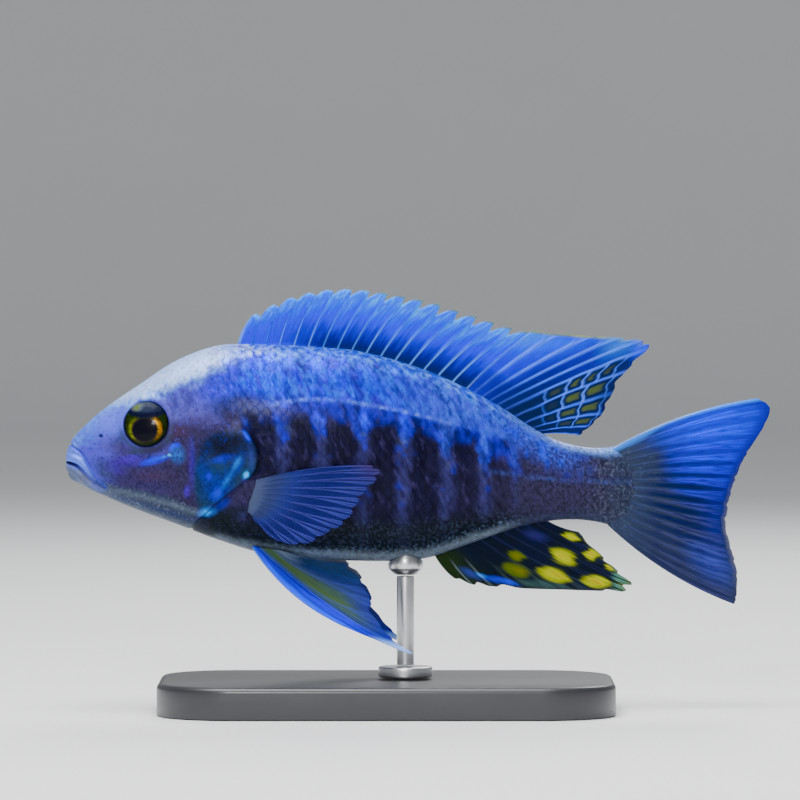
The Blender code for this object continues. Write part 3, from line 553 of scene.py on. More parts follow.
def paintHead(x, rise):
    # A periwinkle snout and brow under a white blaze, a plum cheek, a grey throat, soft patches
    blotch = bodyNoise(x, rise, 1.9, 1.5, 2, 25)
    tint = plain(x, "periwinkle", 0.8)
    cheek = step(rise + blotch - 0.1 * (x + 50), 3.2, 0.8) * step(x, -60, -54.5)
    tint = wash(tint, [
        (step(rise, 3.5, 7.5) * step(x, -50, -56), "lavender", 0.8),
        (step(x, -49, -45.5) * step(rise, 14, 11), "dusk", 0.9),
        (step(x, -47.5, -44.5) * step(rise + blotch, 10.6, 8), "mauve", 0.75),
        (step(x, -47, -44) * step(rise + blotch, 9.2, 6.6), "plum", 0.85),
        (cheek, "plum", 0.94),
        (cheek * step(bodyNoise(x, rise, 2.6, 1.8, 10), 0.45, 0.95), "mauve", 0.3)])
    tint = paintThroat(tint, x, rise)
    tint = paintBlaze(tint, x, rise)
    tint = patched(tint, x, rise, headPatches, 0.72, 0.5, 30)
    cover = step(nearLine(head["coverFront"], x, rise), 0, 1.6) * step(rise, 7.4, 5.4)
    tint = wash(tint, [
        (cover * step(rise, -1, 2.6), "teal", 0.85),
        (cover * step(rise, 2.6, -1) * step(rise, -10.6, -8.6), "cellTeal", 0.85),
        (spot(x, rise, (-35.9, 3.4), (3.4, 2.8), 0, 0.9), "black", 0.75)])
    return patched(tint, x, rise, coverPatches, 0.55, 0.6, 31)


def paintThroat(tint, x, rise):
    # Grey-blue under the jaw, a paler fold along it, which is a painted highlight on the raised fold,
    # and a darker crease below the fold, which is painted shade in its groove
    below = step(nearLine(markings["throatEdge"], x, rise), -0.5, 0.7)
    # the fold's pale paint is a painted highlight, the crease's dark paint is painted shade
    fold = bump(nearLine(markings["throatFold"], x, rise), 1) * step(x, -37, -41)
    crease = bump(nearLine(markings["throatCrease"], x, rise), 0.7) * step(x, -38, -42)
    return wash(tint, [
        (below, "stone", 0.95),
        (below * step(bodyNoise(x, rise, 3.4, 1.2, 3, -18), 0.4, 0.9), "keel", 0.14),
        (below * step(rise - profile(body["belly"], x), 1.8, 0.4), "keel", 0.3),
        (fold, "keel", 0.26),
        (crease, "steelBlue", 0.25)])


def paintBlaze(tint, x, rise):
    # White over the brow and crown, its lower edge broken up; royal blue on the nape below it
    ragged = 1.8 * (bodyNoise(x, rise, 1.1, 0.8, 4, 50) - 0.5) * step(x, -58, -50)
    blaze = nearLine(markings["blazeEdge"], x, rise) + ragged
    under = step(blaze, 5.6, 3.6) * step(blaze, -0.6, 0.6) * step(x, -50.5, -48)
    fine = bodyNoise(x, rise, 0.42, 0.62, 5, 20)
    white = step(blaze, 0, -1.9) * step(x, -61.5, -56.5) * step(x, -26, -33)
    front = step(x, -57, -61) * step(rise, 2, 4.5)
    nape = step(x, -43, -37) * step(rise, 9, 13.5)
    return wash(tint, [
        (under, "dusk", 0.45),
        (under * step(bodyNoise(x, rise, 0.9, 1.4, 6, 24), 0.45, 0.8), "lavender", 0.22),
        (step(blaze, 1.3, -0.8) * (1 - 0.75 * step(fine, 0.55, 0.72) * step(blaze, -2, -0.4)),
         "paleBlue", 0.85),
        (white, "white", 0.95),
        (front * bodyNoise(x, rise, 0.8, 0.6, 8, 35), "sky", 0.35),
        (nape * step(blaze, -0.4, 1.4), "royal", 0.8)])


def paintLips(tint, x, rise):
    # A slate upper lip, lavender in front, a greyer lower lip, a dark slit between them, which is
    # painted shade in the mouth's gap, and a denim crease above
    fromMouth = nearLine(head["mouthLine"], x, rise)
    fromMuzzle = nearLine(head["muzzleLine"], x, rise)
    ahead = step(x, -56.8, -57.8)
    upper = step(fromMouth, 0.05, -0.15) * step(fromMuzzle, -0.1, 0.2) * ahead
    front = step(x, -59, -61.8)
    crown = step(fromMuzzle, 0.2, 0.7) * step(fromMouth, -0.1, -0.5)
    lower = step(fromMouth, -0.05, 0.15) * step(fromMouth, 3.4, 1.6) * step(x, -56.8, -59.6)
    # the slit's dusk along the lips and its black at the front are painted shade in the mouth's gap
    slit = bump(fromMouth, 0.3)
    return wash(tint, [
        (upper, "slate", 0.8),
        (upper * step(x, -60.5, -58.8), "stone", 0.45),
        (upper * front, "lavender", 0.6),
        (upper * front * crown, "paleBlue", 0.3),
        (lower, "lowerLip", 0.92),
        (lower * bump(fromMouth - 0.5, 0.6), "lavender", 0.35),
        (lower * step(bodyNoise(x, rise, 1.3, 0.9, 9, -40), 0.4, 0.9), "keel", 0.7),
        (lower * spot(x, rise, (-61.6, -2.9), (1.9, 1), -40, 0.9), "rust", 0.35),
        (bump(fromMuzzle, 0.34) * ahead, "denim", 0.7),
        (slit * step(x, -57.6, -59), "dusk", 0.7),
        (slit * step(x, -62.2, -63.2), "black", 0.97)])


def paintFlank(x, rise, back, belly):
    # Dark bars and pale stripes below the lateral line, blue above it, a pale crest
    down, over = back - rise, rise - lateralRise(x)
    stripe = stripes(x, rise)
    rear = step(x, -12, 6)
    tint = plain(x, "barBlack")
    tint = wash(tint, [
        (bodyNoise(x, rise, 0.8, 6, 12), "plum", 0.3),
        (step(x, 3, 18), "plum", 0.5),
        (stripe * (0.6 + 0.4 * bodyNoise(x, rise, 0.6, 5, 13)), "violetGrey", 0.66)])
    # royal flecks fall from the lateral line into the pale stripes, with green-gold glints
    depthOfBlue = 3 + 4.2 * stripe + 2.4 * bodyNoise(x, rise, 1.8, 9, 14)
    blue = step(-over, depthOfBlue, depthOfBlue - 2.6) * step(x, -33, -28) * step(x, 24, 17)
    fleck = step(bodyNoise(x, rise, 0.9, 1.9, 15, 14), 0.34, 0.62)
    stray = step(bodyNoise(x, rise, 0.9, 1.5, 33), 0.74, 0.86) * step(rise, -9, -5) * stripe
    glint = step(bodyNoise(x, rise, 1.1, 1.3, 17), 0.7, 0.88) * bump(over + 6, 3.8) * stripe
    tint = wash(tint, [
        (blue * (0.6 + 0.4 * stripe), "deepBlue", 0.75),
        (blue * fleck * (0.45 + 0.55 * stripe), "royal", 0.95),
        (blue * stripe * step(x, -2, 5), "slate", 0.5),
        (stray, "royal", 0.45),
        (glint, "olive", 0.45)])
    # above the line: azure and royal ahead, denim behind, broad darker streaks that lean back
    above = step(over, -0.7, 0.7)
    violetFleck = above * step(bodyNoise(x, rise, 0.9, 1.6, 35, 26), 0.68, 0.86)
    tint = wash(tint, [
        (above, "royal", 0.97),
        (above * step(bodyNoise(x, rise, 1.2, 3.4, 19, 24), 0.3, 0.75), "azure", 0.85),
        (above * rear, "denim", 0.85),
        (above * step(bodyNoise(x, rise, 1, 3.6, 18, 26), 0.5, 0.8), "steelBlue", 0.55),
        (violetFleck * (1 - rear), "violet", 0.5)])
    # the crest of the back hangs down in sky blue teeth
    crestDepth = 0.5 + 2.8 * bodyNoise(x, rise, 0.8, 5, 21, 12)
    crest = step(down, crestDepth, crestDepth - 1) * step(x, 22, 12)
    whiter = step(bodyNoise(x, rise, 0.7, 0.9, 22), 0.5, 0.75) * step(x, -18, -34)
    tint = wash(tint, [
        (crest, "cerulean", 0.7),
        (crest * whiter, "white", 0.7)])
    return paintRear(tint, x, rise, belly, down)


def stripes(x, rise):
    # 1 along the pale stripes of the flank, 0 on the dark bars between them
    wander = x + 1.3 * (bodyNoise(x, rise, 2.4, 2.6, 11) - 0.5)
    wander = wander + 0.6 * (bodyNoise(x, rise, 0.9, 1.4, 32) - 0.5)
    phase = np.interp(wander, markings["paleStripes"], np.arange(len(markings["paleStripes"])))
    return bump(phase - np.round(phase), 0.27) * step(x, 24, 15)


def paintRear(tint, x, rise, belly, down):
    # The dark belly, the pale keel, and the tail stalk with its bright upper edge
    mottle = bodyNoise(x, rise, 0.55, 0.8, 23)
    low = step(rise - 0.1 * np.maximum(x, 0) + 1.6 * (mottle - 0.5), -8.6, -12.8)
    keel = step(rise - belly + 0.5 * mottle, 3 - 1.2 * step(x, 0, 25), 0.9)
    chest = spot(x, rise, (-35, -11.6), (6.4, 3), -24, 0.7)
    stalk = step(x, 13, 22)
    fleck = step(bodyNoise(x, rise, 0.9, 1.2, 26), 0.55, 0.75)
    upper = bump(down - 3, 4.4) * step(x, 8, 14) * step(x, 34, 22)
    speck = step(bodyNoise(x, rise, 0.34, 0.4, 34), 0.66, 0.86) * step(x, 28, 34)
    return wash(tint, [
        (low, "moss", 0.88),
        (keel, "keel", 0.9),
        (keel * bump(x + 20, 9), "silver", 0.65),
        (step(rise - belly, 0.7, 0), "violetGrey", 0.3),
        (chest, "moss", 0.95),
        (stalk * step(down, 1, 3), "stalk", 0.8),
        (stalk * bodyNoise(x, rise, 2, 1.6, 25), "plum", 0.5),
        (upper, "denim", 0.4),
        (upper * fleck, "azure", 0.65),
        (step(x, 33, 38), "stone", 0.7),
        (speck, "silver", 0.08),
        (step(x, 12, 22) * step(down, 1.7, 0.6), "paleBlue", 0.55),
        (step(x, 20, 27) * step(down, 0.9, 0.3), "white", 0.5),
        (step(x, 31, 36) * step(down, 2.4, 0.8), "paleBlue", 0.5),
        (stalk * step(rise - belly, 2.4, 0.6), "stone", 0.75)])


def dusky(x, rise):
    # 1 in the dark band above the gill cover, from behind the eye to under the nape
    return spot(x, rise, (-32.6, 10.3), (8.4, 3.6), 2, 0.7)


def paintFlecks(tint, x, rise):
    # For the material: the colour of light flecks, the shares of light and dark flecks, and how
    # streaky they are; each zone blends its values in by a mask
    back, belly = profile(body["back"], x), profile(body["belly"], x)
    fromOpening = nearLine(head["opening"], x, rise)
    blaze = nearLine(markings["blazeEdge"], x, rise)
    over, down = rise - lateralRise(x), back - rise
    onFlank = step(fromOpening, 1, -1)
    above = onFlank * step(over, -0.6, 0.6)
    low = onFlank * step(over, 0.6, -0.6)
    stripe = stripes(x, rise)
    nape = (1 - onFlank) * step(x, -49.5, -47) * step(blaze, -2.2, 0.6) * step(blaze, 5.6, 3.4)
    cheek = (1 - onFlank) * step(rise, 6, 2) * step(x, -60, -55)
    throat = step(nearLine(markings["throatEdge"], x, rise), -0.5, 0.7) * (1 - onFlank)
    cover = (1 - onFlank) * step(nearLine(head["coverFront"], x, rise), 0, 1.6) * step(rise, 7.4, 5.4)
    belt = onFlank * step(rise - 0.1 * np.maximum(x, 0), -8.6, -12.4)
    stalk = onFlank * step(x, 13, 22)
    # each zone: mask, colour of light flecks, shares of light and dark flecks, streakiness
    zones = [
        (1 - onFlank, "periwinkle", 0.06, 0.18, 0.2), (cheek, "mauve", 0.16, 0.24, 0),
        (throat, "keel", 0.02, 0.12, 0), (nape, "periwinkle", 0.3, 0.62, 0.6),
        (cover, "opercleBlue", 0.08, 0.34, 0.3), (low, "mauve", 0.06, 0.36, 0.9),
        (low * stripe, "violetGrey", 0.22, 0.34, 1),
        (low * stripe * step(over, -6.5, -3), "azure", 0.22, 0.42, 1),
        (low * stripe * step(over, -6.5, -3) * step(x, -2, 5), "rayBlue", 0.34, 0.36, 0.9),
        (above, "cerulean", 0.34, 0.46, 1), (above * step(x, -6, 8), "rayBlue", 0.32, 0.52, 0.8),
        (above * step(down, 3.6, 0.8), "sky", 0.38, 0.46, 1),
        (above * step(down, 2.2, 0.6), "paleBlue", 0.36, 0.44, 1),
        (above * step(down, 3.6, 0.8) * step(x, -22, -33), "white", 0.4, 0.36, 1),
        (dusky(x, rise), "dusk", 0.11, 0.44, 0.7),
        (belt, "stone", 0.26, 0.44, 0), (belt * step(rise - belly, 3.2, 1.4), "silver", 0.05, 0.2, 0),
        (onFlank * step(x, -26.5, -31) * step(rise, 5, 1), "mauve", 0.08, 0.3, 0.4),
        (stalk, "mauve", 0.26, 0.34, 0.1), (0.6 * stalk * step(x, 29, 36), "keel", 0.04, 0.28, 0),
        (stalk * bump(down - 2.6, 3.6) * step(x, 34, 24), "rayBlue", 0.4, 0.5, 0.3)]
    light = wash(tint, [(mask, name, 1) for mask, name, *_ in zones])
    shares = np.zeros((3, *x.shape))
    for mask, _, *values in zones:
        shares = shares + (np.reshape(values, (3, *[1] * x.ndim)) - shares) * mask
    lightShare, darkShare, streaky = shares
    onLine = bump(nearLine(markings["lateral"], x, rise), 0.85) * step(x, 9, 4)
    lightShare, darkShare = lightShare * (1 - onLine), darkShare * (1 - 0.7 * onLine)
    blue = tint[..., 2] - np.maximum(2 * tint[..., 0], 0.7 * tint[..., 1])
    vivid = (1 - onFlank) * step(blue, 0.25, 0.6) * (1 - nape)
    lightShare, darkShare = lightShare * (1 - vivid), darkShare * (1 - 0.6 * vivid)
    onLips = step(x, -57.6, -58.6) * (np.abs(nearLine(head["mouthLine"], x, rise)) < 2)
    bare = np.maximum(step(fromEye(x, rise), 5.6, 4.9), onLips)
    return dict(light=light, lightShare=lightShare * (1 - bare), darkShare=darkShare * (1 - bare),
                streaky=streaky)


def paintBody(x, rise):
    # Head and flank paint meet at the gill opening; over both a dusky band, a painted shadow behind
    # the opening, the dark slit, which is painted shade in the opening, and what lies across it, then
    # the pale lateral lines, the nostril and pores painted dark as shade in their pits, and the rim of
    # the eye, black in its upper seam as painted shade
    back, belly = profile(body["back"], x), profile(body["belly"], x)
    fromOpening = nearLine(head["opening"], x, rise)
    onFlank = paintFlank(x, rise, back, belly)
    onHead = paintLips(paintHead(x, rise), x, rise)
    sharp = 0.25 + 3.6 * step(rise, 6.5, 11) + 1.2 * step(rise, -6, -9)
    tint = onFlank + (onHead - onFlank) * step(fromOpening, -sharp, sharp)[..., None]
    shadow = bump(fromOpening + 2, 2.5) * step(rise, 11.5, 8) * step(rise, -4.5, -1.5)
    behind = step(fromOpening, 0.2, -0.6) * step(fromOpening, -5.4, -3.4) * step(rise, -1, -4)
    # the slit is painted shade: black in the gap of the gill opening
    slit = bump(fromOpening + 0.4, 0.5) * step(rise, 8, 5) * (0.15 + 0.65 * step(rise, -5, 0))
    tint = wash(tint, [
        (dusky(x, rise) * (0.8 + 0.2 * bodyNoise(x, rise, 0.8, 1.6, 36, 24)), "steelBlue", 0.98),
        (dusky(x, rise), "barBlack", 0.3),
        (spot(x, rise, (-34.2, 8.4), (2.8, 2.5), -30, 0.8), "plum", 0.85),
        (shadow, "barBlack", 0.9),
        (behind * step(rise, -9.8, -7), "plum", 0.85),
        (behind * step(rise, -6.6, -9), "moss", 0.85),
        (slit * step(rise, -12, -9), "black", 0.85)])
    tint = patched(tint, x, rise, openingPatches)
    for line, reach, depth in ((markings["lateral"], 4, 0.85), (markings["lowerLateral"], 60, 0.2)):
        off = nearLine(line, x, rise)
        beat = 0.3 + 0.7 * step(grain(x / 0.55, rise / 3, 29), 0.3, 0.75)
        beat = beat * step(x, -30, -23) * step(x, reach + 8, reach)
        tint = wash(tint, [
            (bump(off, 0.5) * beat, "rayBlue", 0.9 * depth),
            (bump(off, 0.34) * beat, "silver", 0.45 * depth),
            (bump(off + 0.75, 0.45) * step(x, reach, reach - 8), "deepBlue", 0.45 * depth)])
    # the nostril and the pores are painted dark: painted shade in their pits
    pit = np.hypot(x - head["nostril"][0], rise - head["nostril"][1])
    tint = wash(tint, [(bump(pit, 0.5), "black", 0.85)])
    for px, pr in head["pores"]:
        tint = wash(tint, [(bump(np.hypot(x - px, rise - pr), 0.3), "navy", 0.6)])
    far = fromEye(x, rise)
    return wash(tint, [
        (bump(far - 4.75, 0.75) * step(rise, 9, 4), "stone", 0.8),
        (bump(far - 4.85, 0.9) * step(rise, 4.6, 3.2) * step(x, -52, -49.5), "plum", 0.75),
        # black in the seam round the top of the eye is painted shade
        (step(far, 4.42, 4.2) * step(rise, 9.6, 7.6), "black", 0.8)])


def sheenOf(tint):
    # Blue and cyan paint glitters like foil, pale and dark paint doesn't
    blue = tint[..., 2] - np.maximum(tint[..., 0], 0.6 * tint[..., 1])
    return np.clip(0.4 * step(blue, 0.25, 0.85), 0, 1)


def fleshFinish():
    # Painted wet skin: fine grain in colour, roughness and height
    finish = Finish("wetSkin", IOR=1.4, Coat_Weight=0.02, Coat_Roughness=0.2, Specular_IOR_Level=0.05)
    fine, broad = finish.noise(0.22, 3), finish.noise(1.6, 2)
    shade = 0.82 + 0.22 * fine + 0.14 * broad
    finish.feed(Base_Color=finish.scaled(finish.flecked(), shade),
                Roughness=0.24 + 0.22 * broad + 0.08 * fine, Metallic=finish.layer("sheen"))
    finish.raised(fine + 0.6 * finish.noise(0.6, 2), 0.02)
    return finish.material


# The skin

def ringPlaces(share, angle):
    # Rings crowd towards the snout and bend until one lies along the gill opening and the last
    # one along the root of the tail
    flat = snoutX + (body["endX"] - snoutX) * share ** body["crowding"]
    opening = refined(head["gillOpening"], 6)[::-1]
    front, rear = body["gillPull"]
    pull = step(flat, front, body["gillRingX"]) * step(flat, rear, body["gillRingX"])
    tailPull = step(flat, body["tailPull"], body["endX"])
    x = flat
    for _ in range(4):
        rise = flank(x, angle, relief=False)[..., 2]
        x = flat + pull * (np.interp(rise, opening[:, 1], opening[:, 0]) - body["gillRingX"])
        x = x + tailPull * (tailRoot(rise) + body["pastTailRoot"] - body["endX"])
    return x


def gridNormals(points):
    # Square to both directions of a grid that wraps round its second one
    around = np.roll(points, -1, axis=1) - np.roll(points, 1, axis=1)
    normal = np.cross(np.gradient(points, axis=0), around)
    return normal / np.maximum(np.linalg.norm(normal, axis=-1), 1e-9)[..., None]


def makeSkin():
    # Rings of points round the body, each moved along its normal by the carving, closed at both
    # ends by a point
    rings, around = body["rings"], body["around"]
    share = np.arange(1, rings + 1) / rings
    even = circle(around)
    angle = even - body["angleCrowding"] * np.sin(2 * even)
    share, angle = np.meshgrid(share, angle, indexing="ij")
    x = ringPlaces(share, angle)
    shell = flank(x, angle, lift=-0.05 * step(x, -36, -28))
    normal = gridNormals(shell)
    outward = np.sign(np.sum(normal[200] * (shell[200] - shell[200].mean(0))))
    shell += normal * outward * carving(shell)[..., None]
    tip = np.array([[shell[0, :, 0].min() + 0.02, 0, shell[0, :, 2].mean()]])
    rear = shell[-1].mean(0)[None]
    points = np.concatenate([shell.reshape(-1, 3), tip, rear])
    points[:, 0] = np.maximum(points[:, 0], snoutX + 0.02)
    tint = paintBody(points[:, 0], points[:, 2])
    return makePiece("skin", points, gridFaces(rings, around, wrap=True), fleshFinish(),
                     poleFans(rings, around), tint=tint, sheen=sheenOf(tint),
                     **paintFlecks(tint, points[:, 0], points[:, 2]))


# Scales: pitch along and across the body, plate half sizes, how the plate lies, and its patch
# of the baking map: size, middle of the left flank's part, shifts of the right one, and reach
scales = dict(pitch=2.12, rowPitch=1.36, rows=24, columns=60, halfLength=1.52, halfHeight=1.42,
              spokes=14, frontSink=0.035, rearLift=0.03, floor=0.12, frontX=-33.5, pastTailRoot=-0.6,
              patch=0.003, mapMiddle=0.25, mapShift=0.01, mapRight=0.5, mapReach=120)


def arcTable():
    # For each x, the angle at which the section's outline is a given length from the widest line
    x = np.linspace(-50, body["endX"] - 0.5, 240)
    angle = np.linspace(-np.pi / 2, np.pi / 2, 241)
    points = flank(*np.meshgrid(x, angle, indexing="ij"), relief=False)
    pieces = np.linalg.norm(np.diff(points[..., 1:], axis=1), axis=-1)
    length = np.concatenate([np.zeros((len(x), 1)), np.cumsum(pieces, 1)], 1)
    length -= length[:, 120:121]
    spread = np.linspace(-30, 30, 241)
    table = np.array([np.interp(spread, row, angle) for row in length])
    return x, spread, table, length[:, 0], length[:, -1]


def readTable(x, spread, table, atX, atSpread):
    # Values between the table's points, linear both ways
    u = np.clip((atX - x[0]) / (x[1] - x[0]), 0, len(x) - 1.001)
    v = np.clip((atSpread - spread[0]) / (spread[1] - spread[0]), 0, len(spread) - 1.001)
    i, j = u.astype(int), v.astype(int)
    fu, fv = u - i, v - j
    low = table[i, j] * (1 - fu) + table[i + 1, j] * fu
    return low * (1 - fv) + (table[i, j + 1] * (1 - fu) + table[i + 1, j + 1] * fu) * fv


def scaleSize(x):
    # Scales get smaller towards the tail stalk
    return 1 - 0.14 * step(x, 5, 30)


def scalePlaces(arcs):
    # Middles of the scales: rows a pitch apart from the widest line, every other row shifted
    x, spread, table, lowest, highest = arcs
    row, column = np.arange(-scales["rows"], scales["rows"] + 1), np.arange(scales["columns"])
    row, column = (grid.ravel() for grid in np.meshgrid(row, column, indexing="ij"))
    atX = scales["frontX"] - 10 + scales["pitch"] * (column + 0.5 * (row % 2))
    atSpread = row * scales["rowPitch"] * scaleSize(atX)
    rise = flank(atX, readTable(x, spread, table, atX, atSpread), relief=False)[..., 2]
    fromOpening = nearLine(head["opening"], atX, rise)
    edge = np.interp(atX, x, highest) + 0.2
    floor = np.interp(atX, x, lowest) - 0.2
    kept = fromOpening < -1.55 + 7 * step(rise, 7.6, 11)
    kept &= atX < tailRoot(rise) + scales["pastTailRoot"]
    kept &= (atSpread < edge) & (atSpread > floor)
    return atX[kept], atSpread[kept]


def makeScales(side, word, arcs, material):
    # Each scale is a closed shield: rings of points round its middle, its rear edge lifted, with
    # a wall and a floor sunk in the skin
    atX, atSpread = scalePlaces(arcs)
    reach = np.concatenate([[0], np.repeat(np.array([0.5, 0.94, 1, 1]), scales["spokes"])])
    turns = np.concatenate([[0], np.tile(circle(scales["spokes"]), 4)])
    square = 1 + 0.12 * np.sin(2 * turns) ** 2
    along, across = reach * square * np.cos(turns), reach * square * np.sin(turns)
    lift = -scales["frontSink"] + (scales["frontSink"] + scales["rearLift"]) * step(along, -1.1, 1)
    lift -= 0.02 * across ** 2
    lift[-scales["spokes"]:] = -scales["floor"]
    size = 0.94 + 0.12 * draws.random(len(atX))
    size *= scaleSize(atX)
    x = atX[:, None] + along * scales["halfLength"] * size[:, None]
    spread = atSpread[:, None] + across * scales["halfHeight"] * size[:, None]
    angle = readTable(*arcs[:3], x, spread)
    lifted = lift + 0.012 * (draws.random(len(atX))[:, None] - 0.5)
    points = flank(x, angle, lift=lifted, relief=False)
    points[..., 1] *= side
    rise = points[..., 2]
    tint = paintBody(x, rise)
    flecks = {name: values.reshape(-1, *values.shape[2:]) for name, values in
              paintFlecks(tint, x, rise).items()}
    tint = paintScales(tint, x, rise, reach, along)
    faces, fans = scaleFaces(len(atX), len(reach))
    growth = (reach * scales["halfLength"])[None].repeat(len(atX), 0)
    piece = makePiece(f"scales_{word}", points.reshape(-1, 3), faces, material, fans,
                      tint=tint.reshape(-1, 3), sheen=sheenOf(tint).ravel(), growth=growth.ravel(),
                      **flecks)
    addPatches(piece, atX, atSpread, side, along, across)
    return piece


def paintScales(tint, x, rise, reach, along):
    # Each scale has a shade of its own, some of the upper ones are darker, and so is the rear rim
    own, pick = draws.random((2, len(x), 1))
    tint = tint * (0.92 + 0.16 * own)[..., None]
    upper = step(rise - lateralRise(x), 0.5, 2)
    rear = step(reach, 0.62, 1) * step(along, 0, 0.6)
    tint = wash(tint, [(upper * step(pick, 0.82, 0.88), "deepBlue", 0.22)])
    return tint * (1 - 0.16 * rear)[..., None]


def scaleFaces(count, each):
    # Quads between the rings of one scale and fans at its middle and floor, for every scale
    spokes = scales["spokes"]
    ring = np.arange(spokes)
    beside = (ring + 1) % spokes
    quads = np.concatenate([np.stack([1 + k * spokes + ring, 1 + k * spokes + beside,
                                      1 + (k + 1) * spokes + beside, 1 + (k + 1) * spokes + ring], -1)
                            for k in range(3)])
    middle = np.stack([ring * 0, 1 + ring, 1 + beside], -1)[:, ::-1]
    last = 1 + 3 * spokes
    floor = np.stack([np.full(spokes - 2, last), last + ring[2:], last + ring[1:-1]], -1)[:, ::-1]
    fans = np.concatenate([middle, floor])
    starts = np.arange(count)[:, None, None] * each
    return (quads + starts).reshape(-1, 4), (fans + starts).reshape(-1, 3)


def addPatches(piece, atX, atSpread, side, along, across):
    # The map used for baking: each scale a small patch where it grows on the skin's unwrap
    u = (atX - snoutX) / (body["endX"] - snoutX)
    v = scales["mapMiddle"] + side * scales["mapShift"] + atSpread / scales["mapReach"]
    v = v + (scales["mapRight"] if side > 0 else 0)
    patch = scales["patch"] / 2
    flat = np.stack([u[:, None] + along * patch, v[:, None] + across * patch], -1).reshape(-1, 2)
    chart = piece.data.uv_layers.new(name="OFBake")
    corner = np.zeros(len(piece.data.loops), np.int32)
    piece.data.loops.foreach_get("vertex_index", corner)
    chart.data.foreach_set("uv", flat[corner].astype(np.float32).ravel())


def scaleFinish():
    # Scales: the skin's wet paint with fine growth rings
    finish = Finish("scalePlates", IOR=1.4, Coat_Weight=0.03, Coat_Roughness=0.15, Specular_IOR_Level=0.06)
    fine = finish.noise(0.25, 2)
    rings = finish.sine(finish.layer("growth") * (2 * np.pi / 0.16) + 3 * fine)
    shade = 0.9 + 0.18 * fine + 0.03 * rings
    finish.feed(Base_Color=finish.scaled(finish.flecked(), shade),
                Roughness=0.22 + 0.2 * finish.noise(1.2), Metallic=finish.layer("sheen"))
    finish.raised(0.5 * rings + fine, 0.008)
    return finish.material


# Eyes

def makeEye(side, word, material):
    # A shallow dome in front and a deeper bowl behind, turned about the eye's axis; the iris and
    # pupil are painted by their place in the side view
    centre, out, ahead, up = eyeFrame(side)
    swing = np.linspace(0, np.pi, eye["rings"] + 2)[1:-1]
    depth = np.where(swing <= np.pi / 2, eye["bulge"], eye["depth"]) * np.cos(swing)
    radius = eye["radius"] * np.sin(swing)
    turn = circle(eye["spokes"])
    ring = ahead * np.cos(turn)[:, None] + up * np.sin(turn)[:, None]
    shell = centre + out * depth[:, None, None] + ring * radius[:, None, None]
    poles = np.array([centre + out * eye["bulge"], centre - out * eye["depth"]])
    points = np.concatenate([shell.reshape(-1, 3), poles])
    tint, foil = paintEye(points[:, 0] - eye["x"], points[:, 2] - eye["rise"])
    return makePiece(f"eyeball_{word}", points, gridFaces(eye["rings"], eye["spokes"], wrap=True), material,
                     poleFans(eye["rings"], eye["spokes"]), tint=tint, sheen=foil)


def paintEye(dx, dr):
    # Black pupil, a gold ring that is olive in front and orange behind, a dark lid line over it,
    # and a grey cap with a pale green highlight
    turn = np.degrees(np.arctan2(dr + 0.95, dx + 0.2))
    pupil = np.hypot((dx + 0.26) / 2.2, (dr + 1.05) / 2.08)
    ring = np.hypot((dx + 0.2) / 3.35, (dr + 0.85) / 2.95)
    tint = plain(dx, "leaf", 0.75)
    rearward = bump(np.abs(turn - 8), 66)
    forward = bump(180 - np.abs(turn - 4), 72)
    band = step(pupil, 1.04, 1.18) * step(ring, 1, 0.84)
    glow = 0.22 + 0.9 * grain(turn / 6, pupil * 7, 41)
    foil = band * np.maximum(rearward, forward) * 0.4
    tint = wash(tint, [
        (band * rearward, "gold", 1),
        (band * rearward * step(ring, 0.78, 0.94), "amber", 0.6),
        (band * forward, "olive", 1),
        (band * forward * bump(ring - 0.82, 0.14), "yellow", 0.4),
        (step(pupil, 0.98, 1.04) * step(pupil, 1.14, 1.06) * step(dr, 1.4, 0.8), "rust", 0.6)])
    tint = tint * glow[:, None]
    lid = step(dr - 0.07 * dx ** 2, 0.9, 1.3)
    cap = step(dr - 0.06 * dx ** 2, 1.8, 2.6)
    rim = np.hypot(dx, dr) / eye["radius"]
    return wash(tint, [
        (lid, "barBlack", 0.85),
        (cap, "stone", 0.62),
        (cap * spot(dx, dr, (-1.7, 3), (1.9, 1.2), 36, 0.9), "keel", 0.45),
        (cap * spot(dx, dr, (-1.75, 3), (1.2, 0.8), 36, 0.9), "olive", 0.8),
        (cap * step(dx, 0.4, 2.2), "barBlack", 0.6),
        (step(pupil, 1.04, 0.98), "black", 1),
        (step(rim, 0.88, 0.97) * step(dr, 2.4, 0.8), "black", 0.9)]), foil


def eyeFinish():
    # Glassy wet eye over an iris with fine radial grain
    finish = Finish("eyeGlass", IOR=1.4, Coat_Weight=0.06, Coat_Roughness=0.03, Specular_IOR_Level=0.03)
    fine = finish.noise(0.16, 3)
    finish.feed(Base_Color=finish.scaled(finish.layer("tint", "Color"), 0.75 + 0.5 * fine),
                Roughness=0.18 + 0.15 * fine, Metallic=finish.layer("sheen"))
    return finish.material


